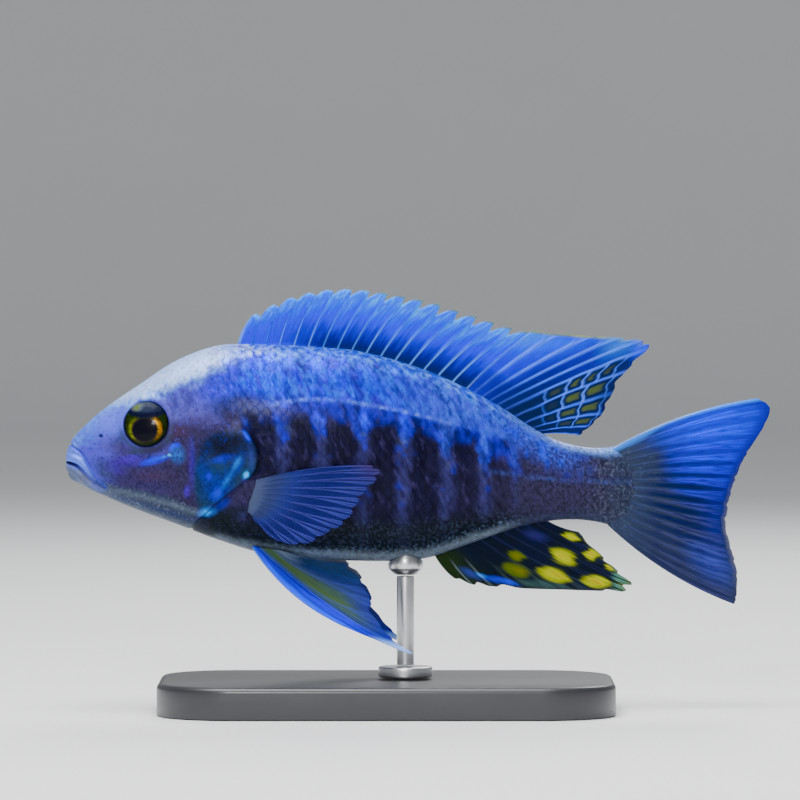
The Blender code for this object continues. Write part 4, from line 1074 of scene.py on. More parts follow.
# Fins: outlines as (x, rise); the solids' own values, with finer thickness
fins = dict(
    membrane=0.2, ray=0.26, root=1.5, tip=0.1, sink=0.9, rows=64,
    spines=17, spineBase=(-33.7, 8.3), spineTip=(-31.7, 20.9), lappet=1.3,
    dorsalEdge=[(-31.9, 24.8), (-28.7, 27.1), (-25.2, 28.9), (-21.7, 30.3), (-17.7, 31.3),
                (-13.8, 31.8), (-10, 31.7), (-5.6, 31.2), (-1.1, 30.4), (3.2, 29.5), (8.7, 27.7),
                (14.7, 25.8), (18.4, 24.6), (21.5, 23.9)],
    softBase=(8.4, 21.6), softRays=(0, 1, 2, 3, 4, 5.1, 6.6, 7.9, 8.85, 9.55, 10),
    softTips=[(20.8, 24.2), (25.2, 23.6), (31.4, 23.2), (36.4, 22.9), (40.6, 22.4), (42.4, 21.3),
              (39.8, 18.4), (37.2, 15.6), (35.4, 12.2), (33.4, 8.4), (29.6, 4.9)],
    analBase=(2.6, 22.6),
    analTips=[(6.4, -21.4), (9.8, -22.6), (13.6, -23), (20, -23.4), (26.4, -23.6), (32.6, -23.8),
              (37.8, -23.9), (39.2, -22.4), (36.2, -19.7), (33.6, -17.2), (29.4, -12.9)],
    tailBase=[(37, 2.9), (38.3, 0.8), (39.1, -2), (39.2, -5.2), (38.5, -8.3), (37.1, -11.3),
              (36.4, -12.2)],
    tailEdge=[(62.6, 11.75), (64.7, 9.9), (63.4, 6.2), (61.4, 3.2), (60, 0.8), (58.9, -1.6), (58, -4),
              (57.3, -6.6), (56.8, -9.2), (56.6, -11.8), (57.2, -14.6), (58, -17.2),
              (58.6, -19.8), (58.8, -22.4), (58.7, -24.6), (58.3, -26.4)],
    tailBow=1.4, tailTurn=2,
    pectoralRoot=[(-30.9, -3.4), (-30.7, -9)],
    pectoralTips=[(-8.7, -0.1), (-7.2, -1.2), (-8, -3), (-9.8, -4.9), (-11.2, -7), (-12.4, -9.2),
                  (-14.4, -11.2), (-17, -12.6), (-19.8, -14.3), (-23.2, -14.7), (-26.4, -13.8),
                  (-28.6, -11.4)],
    pectoralBow=(0.9, -0.5), pectoralSink=1.4, pectoralSplay=0.3,
    pelvicRoot=[(-30.6, -15.6), (-25, -16.6)],
    pelvicTips=[(-14, -29.6), (-1.4, -34.6), (-6.6, -30.2), (-9.2, -24.4), (-11, -21), (-13.6, -18.4)],
    pelvicBow=(-1.6, -0.3), pelvicRootY=3.4, pelvicSplay=0.5)


def finGrid(rays, perRay=18):
    # Places across a fin in ray numbers, and shares of the way out, both as a grid
    place = np.linspace(0, rays - 1, (rays - 1) * perRay + 1)
    out = np.linspace(0, 1, fins["rows"]) ** 1.05
    return np.meshgrid(place, out, indexing="ij")


def fromRay(place):
    # Distance from the nearest ray, half a ray's pitch at most
    return np.abs(place - np.round(place))


def rayRidge(place, out, branched, first=0.34, second=0.62):
    # Height of the rays from 0 to 1: one ridge that parts in two, and each in two again
    off = fromRay(place)
    thin = 0.2 - 0.11 * step(out, 0, 0.6)
    if not branched:
        return bump(off, thin)
    apart = 0.23 * step(out, first, 1)
    again = 0.09 * step(out, second, 1)
    forks = [bump(off - side * apart - twig * again, thin) for side in (-1, 1) for twig in (-1, 1)]
    return np.max(forks, axis=0)


def fanPoints(out, roots, tips, bow, reach):
    # Along each ray from root to tip, bowed aside by a parabola of the share of the way
    along = tips - roots
    aside = np.stack([-along[..., 1], along[..., 0]], -1)
    aside /= np.linalg.norm(aside, axis=-1)[..., None]
    share = (out * reach)[..., None]
    return roots + along * share + aside * np.asarray(bow)[..., None] * 4 * share * (1 - share)


def finShell(middle, thick):
    # Both faces of a thin sheet and the wall round its edge, as points and quads
    normal = np.cross(np.gradient(middle, axis=0), np.gradient(middle, axis=1))
    normal /= np.maximum(np.linalg.norm(normal, axis=-1), 1e-9)[..., None]
    half = normal * thick[..., None] / 2
    points = np.concatenate([(middle + half).reshape(-1, 3), (middle - half).reshape(-1, 3)])
    rows, columns = middle.shape[:2]
    upper = gridFaces(rows, columns)
    under = upper[:, ::-1] + rows * columns
    grid = np.arange(rows * columns).reshape(rows, columns)
    rim = np.concatenate([grid[0, :-1], grid[:-1, -1], grid[-1, :0:-1], grid[:0:-1, 0]])
    ahead = np.roll(rim, -1)
    wall = np.stack([ahead, rim, rim + rows * columns, ahead + rows * columns], -1)
    return points, np.concatenate([upper, under, wall])


def finPiece(name, parts, material):
    # One mesh from one or two sheets; each part holds its middle, thickness, tint, veil and ray
    points, quads, count = [], [], 0
    layers = {"tint": [], "veil": [], "ray": [], "length": [], "across": []}
    for part in parts:
        shellPoints, shellQuads = finShell(part["middle"], part["thick"])
        points.append(shellPoints)
        quads.append(shellQuads + count)
        count += len(shellPoints)
        gone = np.cumsum(np.linalg.norm(np.diff(part["middle"], axis=1, prepend=part["middle"][:, :1]),
                                        axis=-1), 1)
        across = 2 * part["place"]
        for layer, values in (("tint", part["tint"]), ("veil", part["veil"]), ("ray", part["ray"]),
                              ("length", gone), ("across", across)):
            flat = values.reshape(-1, 3) if values.ndim == 3 else values.ravel()
            layers[layer] += [flat, flat]
    layers = {layer: np.concatenate(values) for layer, values in layers.items()}
    return makePiece(name, np.concatenate(points), np.concatenate(quads), material,
                     sheen=sheenOf(layers["tint"]) * 0.6, **layers)


def finThickness(ridge, out, root, sheath):
    # Thin between the rays, thicker on them, and swelling into the flesh at the root
    blade = fins["membrane"] + fins["ray"] * ridge * (1 - 0.55 * out)
    thick = blade + (root - blade) * step(out, sheath, 0) ** 1.3
    return thick + (fins["tip"] - thick) * step(out, 0.93, 1)


def finFinish(name, soft):
    # Ray-finned skin: streaks along the rays, joints across them, seen through by its veil
    finish = Finish(name, IOR=1.4, Specular_IOR_Level=0.02)
    fine = finish.noise(0.3, 3)
    length = finish.layer("length")
    across = finish.layer("across")
    along = finish.node("ShaderNodeCombineXYZ", sockets={0: across * 4.4, 1: length * 0.42})
    streak = finish.node("ShaderNodeTexNoise", sockets={"Vector": along, "Scale": 1, "Detail": 2})
    joints = finish.sine(length * (2 * np.pi / 0.55))
    onRay = finish.layer("ray") * joints * soft
    shade = 0.63 + 0.2 * fine + 0.05 * onRay + 0.575 * streak
    finish.feed(Base_Color=finish.scaled(finish.layer("tint", "Color"), shade),
                Roughness=0.3 + 0.2 * fine, Alpha=finish.layer("veil"), Metallic=finish.layer("sheen"))
    finish.raised(fine + 0.5 * onRay + 0.6 * streak, 0.015)
    return finish.material


def sheet(flat, y, place, out, ridge, tint, veil, root=fins["root"], sheath=0.12):
    # What finPiece needs to know of one sheet, whose points stand at (x, y, rise)
    return dict(middle=np.stack([flat[..., 0], y, flat[..., 1]], -1), place=place, ray=ridge,
                thick=finThickness(ridge, out, root, sheath), tint=tint, veil=veil)


def dorsalParts():
    # The spiny part, whose webs end in lobes round in front and sharp behind, and the soft part
    spines = fins["spines"]
    place, out = finGrid(spines, 20)
    roots = rootLine("back", np.interp(place, (0, spines - 1), fins["spineBase"]), -fins["sink"])
    tipX = np.interp(place, (0, spines - 1), fins["spineTip"])
    behind = place - np.floor(place + 1e-9)
    former, latter = np.floor(place + 1e-9), np.minimum(np.floor(place + 1e-9) + 1, spines - 1)
    low, high = (smooth(fins["dorsalEdge"], np.interp(number, (0, spines - 1), fins["spineTip"]))[..., 0]
                 for number in (former, latter))
    tips = np.stack([tipX, high], -1)
    lobe = 1 - (1 - np.clip(behind / 0.6, 0, 1)) ** 2.4
    lobe = lobe * (1 - 0.18 * step(behind, 0.5, 0.95)) * step(behind, 1, 0.94)
    notch = fins["lappet"] + np.maximum(high - low, 0) + 0.3 * np.maximum(low - high, 0)
    reach = 1 - notch / np.linalg.norm(tips - roots, axis=-1) * (1 - lobe)
    flat = fanPoints(out, roots, tips, 0.5 * step(place, 0, 3), reach)
    ridge = bump(np.minimum(behind, 1 - behind), 0.075 - 0.025 * out)
    tint = paintSpiny(flat, place, out * reach, behind, ridge, out)
    spiny = sheet(flat, 0 * place, place, out, ridge, tint, 0.97 + 0 * place)
    count = len(fins["softTips"])
    place, out = finGrid(count)
    spread = np.interp(place, np.arange(count), fins["softRays"])
    roots = rootLine("back", np.interp(spread, (0, count - 1), fins["softBase"]), -fins["sink"])
    tips = smooth(numbered(fins["softTips"]), spread)
    ridge = rayRidge(place, out, True, 0.8, 0.92)
    reach = 1 - 0.03 * step(fromRay(place), 0.2, 0.5) * step(place, 2, 4)
    flat = fanPoints(out, roots, tips, np.interp(place, (0, count - 1), (0.5, 0.3)), reach)
    sway = np.sin(place / (count - 1) * np.pi) * out ** 2
    tint = paintSoft(flat, place, out)
    return [spiny, sheet(flat, sway, place, out, ridge, tint, 0.96 - 0.1 * step(out, 0.9, 1))]


def rootLine(edge, x, shift):
    # Points on the back or belly outline, moved out by the shift
    sign = 1 if edge == "back" else -1
    return np.stack([x, profile(body[edge], x) + sign * shift], -1)


def paintSpiny(flat, place, out, behind, ridge, share):
    # Royal blue webs, dark near the base, cerulean and cyan towards the tips, whose rim turns
    # olive behind
    x = flat[..., 0]
    streak = grain(place * 9, out * 5, 51)
    tint = plain(x, "royal")
    dark = step(out + 0.16 * (streak - 0.5), 0.54, 0.16) * step(x, -29, -16)
    outer = step(out - 0.2 * (behind - 0.5) + 0.12 * (streak - 0.5), 0.56, 0.9)
    number = np.round(place)
    bright = 0.15 + 0.6 * hashed(number, 0 * number, 55)
    rim = step(share, 0.955, 0.99)
    return wash(tint, [
        (step(out, 0.2, 0.75) * streak, "azure", 0.8),
        (dark, "navy", 0.82),
        (step(out, 0.26, 0.06) * step(x, -26, -10), "teal", 0.75),
        (outer, "cerulean", 0.9),
        (outer ** 2 * step(grain(place * 8, out * 9, 52), 0.4, 0.8), "brightCyan", 0.6),
        (outer * step(grain(place * 7, out * 11, 54), 0.62, 0.85), "azure", 0.7),
        (ridge * step(out, 1, 0.6), "sky", 0.35),
        (ridge * step(out, 0.66, 0.3) * step(x, -32, -24) * bright, "paleBlue", 0.9),
        (step(place, 0.3, 0.05), "paleBlue", 0.7),
        (rim, "brightCyan", 0.5),
        (rim * step(x, -16, -2) * step(behind, 0.2, 0.6), "olive", 0.85)])


# Cells in the net at the rear of the soft dorsal fin: the ray in front, where along it the cell
# starts and ends, how olive
netCells = [(5, 0.31, 0.465, 0.4), (5, 0.481, 0.6, 1), (5, 0.616, 0.725, 0.9),
            (5, 0.741, 0.86, 0.6), (6, 0.28, 0.455, 0.1), (6, 0.471, 0.67, 1), (6, 0.686, 0.91, 1),
            (7, 0.24, 0.41, 0.1), (7, 0.426, 0.66, 0.8), (7, 0.676, 0.93, 1),
            (8, 0.42, 0.66, 0.3), (8, 0.676, 0.94, 0.8)]


def paintSoft(flat, place, out):
    # Deep blue webs between pale blue rays, olive cells in a net behind, a yellow upper rim
    x, rise = flat[..., 0], flat[..., 1]
    tint = plain(x, "deepBlue")
    sway = place + 0.09 * (grain(out * 9, np.round(place) * 3, 56) - 0.5) * step(place, 4, 5)
    ray = bump(fromRay(sway), 0.24 - 0.07 * step(place, 4.5, 6))
    tint = wash(tint, [
        (step(place, 3.4, 0.8), "royal", 0.8),
        (step(place, 4, 1) * step(out, 0.4, 0.85), "azure", 0.85),
        (step(place, 3, 0) * step(out, 0.6, 0.92), "cerulean", 0.8),
        (step(out, 0.36, 0.14) * step(place, 4, 2), "navy", 0.55),
        (step(place, 1.5, 4.5) * step(out, 0.7, 0.2), "teal", 0.75),
        (step(place, 4.5, 5.6), "teal", 0.8),
        (ray * step(out, 0, 0.35), "rayBlue", 0.85),
        (ray * step(out, 0.2, 0.5) * step(place, 7.5, 5), "paleBlue", 0.12),
        (ray * step(out, 0.4, 0.05), "slate", 0.6)])
    for number, start, end, strength in netCells:
        off = np.abs(sway - number - 0.5)
        inRow, inHeart = step(off, 0.5, 0.4), step(off, 0.27, 0.12)
        hole = inRow * step(out, start, start + 0.02) * step(out, end, end - 0.02)
        heart = inHeart * step(out, start + 0.02, start + 0.055) * step(out, end - 0.02, end - 0.055)
        link = np.maximum(bump(out - start + 0.008, 0.017), bump(out - end - 0.008, 0.017))
        link = link * step(off, 0.54, 0.44)
        tint = wash(tint, [
            (link, "rayBlue", 0.25 + 0.45 * strength),
            (link, "paleBlue", 0.25 * strength),
            (hole * step(off, 0.44, 0.34), "teal", 0.85),
            (heart, "olive", 0.55 * strength)])
    edge = step(place, 1.6, 0) * step(out, 0.6, 0.9)
    rim = step(out, 0.95, 0.985) * step(place, 5.2, 4.2)
    return wash(tint, [
        (spot(x, rise, (34.4, 12), (4.2, 2.6), 62, 0.9), "teal", 0.6),
        (spot(x, rise, (13.6, 15.4), (4.6, 2.4), -28, 0.9), "navy", 0.35),
        (edge, "sky", 0.4),
        (rim, "olive", 0.8),
        (rim * grain(x / 1.4, rise, 53), "yellow", 0.5),
        (step(x, 31, 37) * step(place, 5.4, 3.6), "sky", 0.4),
        (step(x, 38, 41.5), "azure", 0.7),
        (step(place, 6, 9) * step(out, 0.93, 0.99), "navy", 0.8)])


def analPart():
    # Three spines and eight soft rays; yellow spots along them
    count = len(fins["analTips"])
    place, out = finGrid(count)
    roots = rootLine("belly", np.interp(place, (0, count - 1), fins["analBase"]), -fins["sink"])
    tips = smooth(numbered(fins["analTips"]), place)
    soft = step(place, 2.2, 3)
    ridge = rayRidge(place, out, True) * soft + rayRidge(place, out, False) * (1 - soft)
    notch = step(fromRay(place), 0.1, 0.5)
    reach = 1 - (0.1 * (1 - soft) + 0.06 * step(place, 4.6, 6)) * notch
    flat = fanPoints(out, roots, tips, -0.4 + 0 * place, reach)
    sway = 0.8 * np.sin(place / (count - 1) * np.pi) * out ** 2
    tint = paintAnal(flat, place, out, ridge)
    return sheet(flat, sway, place, out, ridge, tint, 0.98 - 0.1 * step(out, 0.9, 1))


# Spots of the anal fin: middle, half sizes, turn in degrees, strength
analSpots = [((28.2, -13.8), (1.9, 0.95), -14, 1), ((26.5, -17.5), (3.1, 1.65), -24, 1),
             ((31.7, -17.1), (1.5, 1.35), -34, 1), ((24.9, -20.8), (3.6, 1.6), -18, 1),
             ((32.6, -22.1), (2.9, 1.4), -14, 1), ((35, -19.5), (1.1, 0.6), -30, 0.8),
             ((18, -17.3), (1.7, 1.2), -24, 0.62), ((18.3, -20), (3.2, 1.4), -22, 0.55)]

# Its streaks low in front: colour, middle, half sizes, turn in degrees
analStreaks = [("slate", (9.4, -20.6), (3.2, 1), -28), ("azure", (15, -21.9), (4.2, 0.8), -14),
               ("sky", (11.6, -20.9), (1.6, 0.5), -22), ("seaGreen", (22.8, -22.6), (7.2, 1.1), -6)]


def paintAnal(flat, place, out, ridge):
    # Near black at the root, azure streaks low in front, yellow spots with orange hearts
    x, rise = flat[..., 0], flat[..., 1]
    tint = plain(x, "barBlack")
    shift = 1.5 * (grain(place * 4, 0 * x, 61) - 0.5)
    tint = wash(tint, [
        (np.ones_like(x), "moss", 0.65),
        (step(grain(place * 2, out * 3, 60), 0.4, 0.9), "navy", 0.14),
        (ridge * step(out, 0.3, 0.8) * step(place, 6.5, 4), "reed", 0.4),
        (ridge * step(place, 2.5, 4.5), "violetGrey", 0.18),
        (spot(x, rise, (21.5, -13.6), (4, 1.8), -16, 0.9), "navy", 0.7),
        (spot(x, rise, (21.5, -13.6), (3.4, 1.4), -16, 0.9), "violetGrey", 0.35),
        (step(place, 3, 0.6), "leaf", 0.8),
        (step(place, 3.2, 1) * ridge * step(out, 0.2, 0.6), "keel", 0.75)])
    for name, centre, size, turn in analStreaks:
        tint = wash(tint, [
            (spot(x + shift, rise, centre, size, turn, 0.8) * (0.6 + 0.4 * ridge), name, 0.95)])
    ragged = 1.1 * (grain(place * 4, 0 * x, 62) - 0.5) + 0.7 * (grain(place * 12, 0 * x, 63) - 0.5)
    for centre, size, turn, strength in analSpots:
        halo = spot(x + ragged, rise, centre, (size[0] + 0.8, size[1] + 0.5), turn, 0.7)
        mark = spot(x + ragged, rise, centre, size, turn, 0.5)
        heart = spot(x, rise, centre, (size[0] * 0.8, size[1] * 0.6), turn, 0.9)
        tint = wash(tint, [
            (halo, "leaf", strength),
            (mark, "yellow" if strength > 0.7 else "olive", 0.97 * min(1, strength + 0.2)),
            (heart * (0.25 + 0.75 * ridge), "orange", 0.85 * strength),
            (mark * (1 - ridge) * step(heart, 0.5, 0.1), "olive", 0.3)])
    tip = step(x, 35, 37) * step(out, 0.7, 0.85)
    return wash(tint, [
        (tip * (1 - ridge), "leaf", 0.8),
        (tip * ridge, "mint", 0.5),
        (step(out, 0.93, 0.99) * step(place, 5.5, 6.5), "olive", 0.45)])


def tailPart():
    # Sixteen rays fanned from the tail stalk; the rear edge is hollow and a little ragged
    count = len(fins["tailEdge"])
    place, out = finGrid(count, 24)
    share = place / (count - 1)
    base = smooth(numbered(fins["tailBase"]), share * (len(fins["tailBase"]) - 1))
    roots = np.stack([base[..., 0] - 1.6, -4.6 + 0.93 * (base[..., 1] + 4.6)], -1)
    tips = smooth(numbered(fins["tailEdge"]), place)
    ridge = rayRidge(place, out, True, 0.22, 0.55)
    off = fromRay(place)
    reach = 1 - 0.01 * step(off, 0.25, 0.5) * bump(share - 0.5, 0.55)
    reach = reach - 0.008 * grain(place * 4, 0 * place, 71)
    flat = fanPoints(out, roots, tips, fins["tailBow"] * (1 - 2 * share), reach)
    turn = np.interp(share, (0, 0.45, 1), (-0.6, 0, fins["tailTurn"])) * out ** 2
    veil = 0.97 - 0.35 * step(out, 0.94, 0.99) * bump(share - 0.55, 0.5)
    return sheet(flat, turn, place, out, ridge, paintTail(flat, share, out, ridge, off), veil, 1.3, 0.16)


def paintTail(flat, share, out, ridge, off):
    # A pale upper edge, a royal upper lobe, dark lines between the middle rays, a dim lower half
    # with a denim patch, scaly flesh at the root and a dark rear border
    x, rise = flat[..., 0], flat[..., 1]
    streak = grain(share * 110, out * 6, 72)
    tint = plain(x, "stone", 0.8)
    upper = step(share + 0.1 * step(out, 0.6, 0.2), 0.56, 0.26)
    middle = bump(share - 0.42, 0.22) * step(out, 0.45, 0.75)
    lobe = spot(x, rise, (54, -18.5), (8.5, 4.6), -40, 0.9)
    web = (1 - ridge) * step(out, 0.1, 0.2)
    wavy = off + 0.1 * (grain(share * 40, out * 5, 74) - 0.5)
    line = web * step(wavy, 0.2, 0.4) * step(out, 0.99, 0.92)
    bent = share * 120 + 2.4 * grain(out * 9, share * 22, 76)
    dash = step(grain(bent, out * 11, 77), 0.56, 0.82) * step(out, 0.12, 0.35) * step(out, 0.99, 0.9)
    flesh = step(out, 0.42, 0.06)
    speck = step(grain(x / 0.3, rise / 0.34, 73), 0.62, 0.85)
    tint = wash(tint, [
        (ridge * step(out, 0.2, 0.5), "violetGrey", 0.6),
        (upper * step(out, 0.26, 0.64), "royal", 0.92),
        (upper * streak * step(out, 0.26, 0.66), "azure", 0.8),
        (step(share, 0.22, 0.08) * step(out, 0.05, 0.4) * (0.4 + 0.6 * streak), "azure", 0.7),
        (middle * (0.2 + 0.8 * streak), "royal", 0.32),
        (lobe * (0.45 + 0.55 * streak), "denim", 0.5),
        (line * bump(share - 0.48, 0.38), "teal", 0.95),
        (line * (0.35 + 0.4 * streak), "navy", 0.6),
        (web * bump(share - 0.5, 0.26) * step(out, 0.3, 0.6), "teal", 0.45),
        (dash, "navy", 0.3 + 0.25 * bump(share - 0.5, 0.4)),
        (flesh, "stone", 0.85),
        (flesh * ridge * step(out, 0.05, 0.2), "slate", 0.25)])
    speck = speck * step(grain(x / 2, rise / 1.6, 75), 0.2, 0.7)
    border = step(out, 0.9, 0.985)
    edge = step(share, 0.03 + 0.06 * step(out, 0.4, 0.1), 0)
    return wash(tint, [
        (step(out, 0.4, 0.12) * speck, "silver", 0.1),
        (step(out, 0.66, 0.94) * step(share, 0.8, 0.6), "deepBlue", 0.42),
        (border * step(share, 0.7, 0.35), "deepBlue", 0.8),
        (border * bump(share - 0.6, 0.55), "teal", 0.6),
        (edge, "sky", 0.85),
        (step(share, 0.015, 0) * step(out, 0.8, 0.3), "white", 0.7),
        (step(share, 0.98, 1) * step(out, 0.8, 0.3), "stone", 0.6)])


def pectoralY(across, out, flat):
    # Distance from the middle plane: the fin swings out from the flank, cambered across
    distance = flat[..., 0] - fins["pectoralRoot"][0][0]
    camber = 0.9 * np.sin(np.pi * across) * out
    return 8 - fins["pectoralSink"] + fins["pectoralSplay"] * distance + camber + 1.1 * step(out, 0, 0.12)


def pelvicY(across, out, flat):
    # Distance from the middle plane: the fin spreads as it hangs down
    drop = fins["pelvicRoot"][0][1] - flat[..., 1]
    return fins["pelvicRootY"] + fins["pelvicSplay"] * drop + np.sin(np.pi * across) * out


def pairedPart(side, root, tips, bow, distanceOf, painter, veilOf, notchDepth):
    # A fan of branched rays from a root sunk in the flank
    count = len(tips)
    place, out = finGrid(count)
    ends = np.array(root, float)
    share = place / (count - 1)
    roots = ends[0] + (ends[1] - ends[0]) * share[..., None]
    edge = smooth(numbered(tips), place)
    ridge = rayRidge(place, out, True, 0.3, 0.62)
    reach = 1 - notchDepth * step(fromRay(place), 0.2, 0.5)
    flat = fanPoints(out, roots, edge, np.interp(share, (0, 1), bow), reach)
    return sheet(flat, side * distanceOf(share, out, flat), place, out, ridge,
                 painter(flat, share, out, ridge), veilOf(share, out, ridge), sheath=0.3)


def paintPectoral(flat, share, out, ridge):
    # Slate blue glass with pale rays and a fleshy root
    x = flat[..., 0]
    tint = plain(x, "steelBlue", 0.9)
    return wash(tint, [
        ((1 - ridge) * step(out, 0.3, 0.6), "navy", 0.55),
        (ridge * step(out, 0.25, 0.5), "violetGrey", 0.75),
        (ridge * step(out, 0.4, 0.8) * step(share, 0.1, 0.5), "slate", 0.35),
        (step(out, 0.4, 0.18), "stone", 0.65),
        (step(out, 0.2, 0.02), "keel", 0.25),
        (step(share, 0.25, 0) * step(out, 0.8, 1), "rust", 0.35)])


def pectoralVeil(share, out, ridge):
    # Clearer between the rays, past the fleshy root
    return 0.98 - (0.22 - 0.16 * ridge) * step(out, 0.22, 0.5)


def paintPelvic(flat, share, out, ridge):
    # An azure leading edge with a pale tip, a green band, teal and slate behind
    x, rise = flat[..., 0], flat[..., 1]
    streak = grain(share * 40, out * 3.5, 81)
    tint = plain(x, "steelBlue", 0.9)
    green = bump(share - 0.5 + 0.1 * out, 0.27) * step(out, 1, 0.7)
    tip = spot(x, rise, (-4.2, -33.4), (6.6, 1.1), -20, 0.8)
    return wash(tint, [
        (step(share, 0.55, 0.85), "cellTeal", 0.75),
        (step(share, 0.5, 0.26), "deepBlue", 0.9),
        (step(share, 0.4, 0.18) * step(streak, 0.3, 0.8), "royal", 0.9),
        (green, "reed", 0.95),
        (green * step(streak, 0.35, 0.8) * step(out, 0.92, 0.5), "olive", 0.18),
        (ridge * step(share, 0.28, 0.4) * step(share, 0.8, 0.6), "slate", 0.45),
        (bump(share - 0.225, 0.022) * step(out, 0.95, 0.6), "lavender", 0.55),
        (step(share, 0.1, 0.05) * step(out, 0.06, 0.24), "azure", 0.95),
        (step(share, 0.04, 0.01) * (0.4 + 0.6 * streak), "sky", 0.5),
        (step(out, 0.4, 0.08) * step(share, 0.55, 0.8), "keel", 0.5),
        (tip, "paleBlue", 0.85),
        (tip * step(x, -7, -3), "white", 0.6),
        (step(out, 0.24, 0) * step(share, 0.1, 0.3) * step(share, 0.8, 0.5), "reed", 0.8)])


def pelvicVeil(share, out, ridge):
    # Clearer between the rear rays
    return 0.97 - 0.25 * step(share, 0.5, 0.9) * step(out, 0.15, 0.4) * (1 - 0.6 * ridge)


def makeFins():
    # Each fin's piece, its kind of skin, and the solids that it stands for
    finFinishes = {"dorsal": finFinish("dorsalSkin", 0.6), "anal": finFinish("analSkin", 1),
                   "tail": finFinish("tailSkin", 1), "paired": finFinish("pairedSkin", 0.8)}
    made = [("dorsal_fin", dorsalParts(), "dorsal", ("dorsal_fin_spiny", "dorsal_fin_soft")),
            ("anal_fin_rayed", [analPart()], "anal", ("anal_fin",)),
            ("tail_fin_rayed", [tailPart()], "tail", ("tail_fin",))]
    for side, word in sides:
        pectoral = pairedPart(side, fins["pectoralRoot"], fins["pectoralTips"], fins["pectoralBow"],
                              pectoralY, paintPectoral, pectoralVeil, 0.035)
        pelvic = pairedPart(side, fins["pelvicRoot"], fins["pelvicTips"], fins["pelvicBow"],
                            pelvicY, paintPelvic, pelvicVeil, 0.05)
        made.append((f"pectoral_{word}", [pectoral], "paired", (f"pectoral_fin_{word}",)))
        made.append((f"pelvic_{word}", [pelvic], "paired", (f"pelvic_fin_{word}",)))
    for name, parts, kind, nodes in made:
        attach(finPiece(name, parts, finFinishes[kind]), kind, *nodes)


# The stand: places come from the frame; rims are small insets at the base's foot and top
stand = dict(corner=14, bevel=1, rodRadius=1.6, footRadius=5, collarRadius=3.2, spokes=96,
             baseSpokes=160, footRim=0.35, topRim=0.6)


def boxOf(node):
    # The corners of a solid's box in millimetres
    low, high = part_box(node)
    return np.array(low) / mm, np.array(high) / mm


def lathe(x, radii, heights, spokes):
    # Rings round an upright axis at x; heights are above the floor
    turn = circle(spokes)
    ring = np.stack([np.cos(turn), np.sin(turn)], -1)
    rows = [np.column_stack([x + ring[:, 0] * r, ring[:, 1] * r, np.full(spokes, h - axisHeight)])
            for r, h in zip(radii, heights)]
    return np.concatenate(rows)


def capped(points, spokes):
    # Quads between rings, and fans from the middle of the first and last ring
    rows = len(points) // spokes
    ends = np.array([points[:spokes].mean(0), points[-spokes:].mean(0)])
    return np.concatenate([points, ends]), gridFaces(rows, spokes, wrap=True), poleFans(rows, spokes)


def makeBase():
    # A slab with round corners: its outline drawn in by a quarter circle at the top edge
    low, high = boxOf("stand_base")
    centre, half = (low + high)[:2] / 2, (high - low)[:2] / 2
    spokes, corner, bevel, rim = stand["baseSpokes"], stand["corner"], stand["bevel"], stand["footRim"]
    turn = circle(spokes) + np.pi / spokes
    ring = np.stack([np.cos(turn), np.sin(turn)], -1)
    inward, upward = quarter(7)
    inset = np.concatenate([[rim, 0], bevel * inward, [bevel + stand["topRim"]]])
    height = np.concatenate([[0, rim], high[2] - bevel + bevel * upward, [high[2]]])
    rows = [np.column_stack([centre + np.sign(ring) * (half - corner) + ring * (corner - i),
                             np.full(spokes, h - axisHeight)]) for i, h in zip(inset, height)]
    points, quads, fans = capped(np.concatenate(rows), spokes)
    finish = Finish("baseLacquer", Coat_Weight=0.25, Coat_Roughness=0.2)
    cloud, fine = finish.noise(9, 3), finish.noise(0.35, 2)
    finish.feed(Base_Color=finish.mixed("MIX", cloud, (0.012, 0.013, 0.016, 1), (0.026, 0.027, 0.032, 1)),
                Roughness=0.34 + 0.12 * cloud + 0.06 * fine)
    finish.raised(fine + 0.4 * finish.noise(0.9), 0.012)
    return makePiece("stand_slab", points, quads, finish.material, fans)


def steelFinish():
    # Steel brushed in fine upright streaks
    finish = Finish("brushedSteel", Metallic=1)
    brushed = finish.noise(0.12, 3, (1, 1, 0.04))
    cloud = finish.noise(3)
    finish.feed(Base_Color=finish.mixed("MIX", brushed, (0.46, 0.47, 0.49, 1), (0.66, 0.66, 0.67, 1)),
                Roughness=0.22 + 0.14 * brushed + 0.06 * cloud)
    finish.raised(brushed, 0.006)
    return finish.material


def makeTurned(name, node, radius, edge, steel):
    # A round bar or disc the height of its solid, its edges rounded by small quarter circles
    low, high = boxOf(node)
    inward, upward = quarter(5)
    radii = np.concatenate([radius - edge * (1 - upward), radius - edge * inward])
    heights = np.concatenate([low[2] + edge * inward, high[2] - edge + edge * upward])
    points = lathe((low[0] + high[0]) / 2, radii, heights, stand["spokes"])
    points, quads, fans = capped(points, stand["spokes"])
    return makePiece(name, points, quads, steel, fans)


def bellyHeight(x, y):
    # The belly's rise at x and y: the section's cosine law turned round
    back, belly = profile(body["back"], x), profile(body["belly"], x)
    middle = belly + (back - belly) * profile(body["widest"], x)
    cosine = np.clip(np.abs(y) / profile(body["halfWidth"], x), 0, 1) ** (1 / body["fullness"])
    return middle - (middle - belly) * np.sqrt(1 - cosine ** 2)


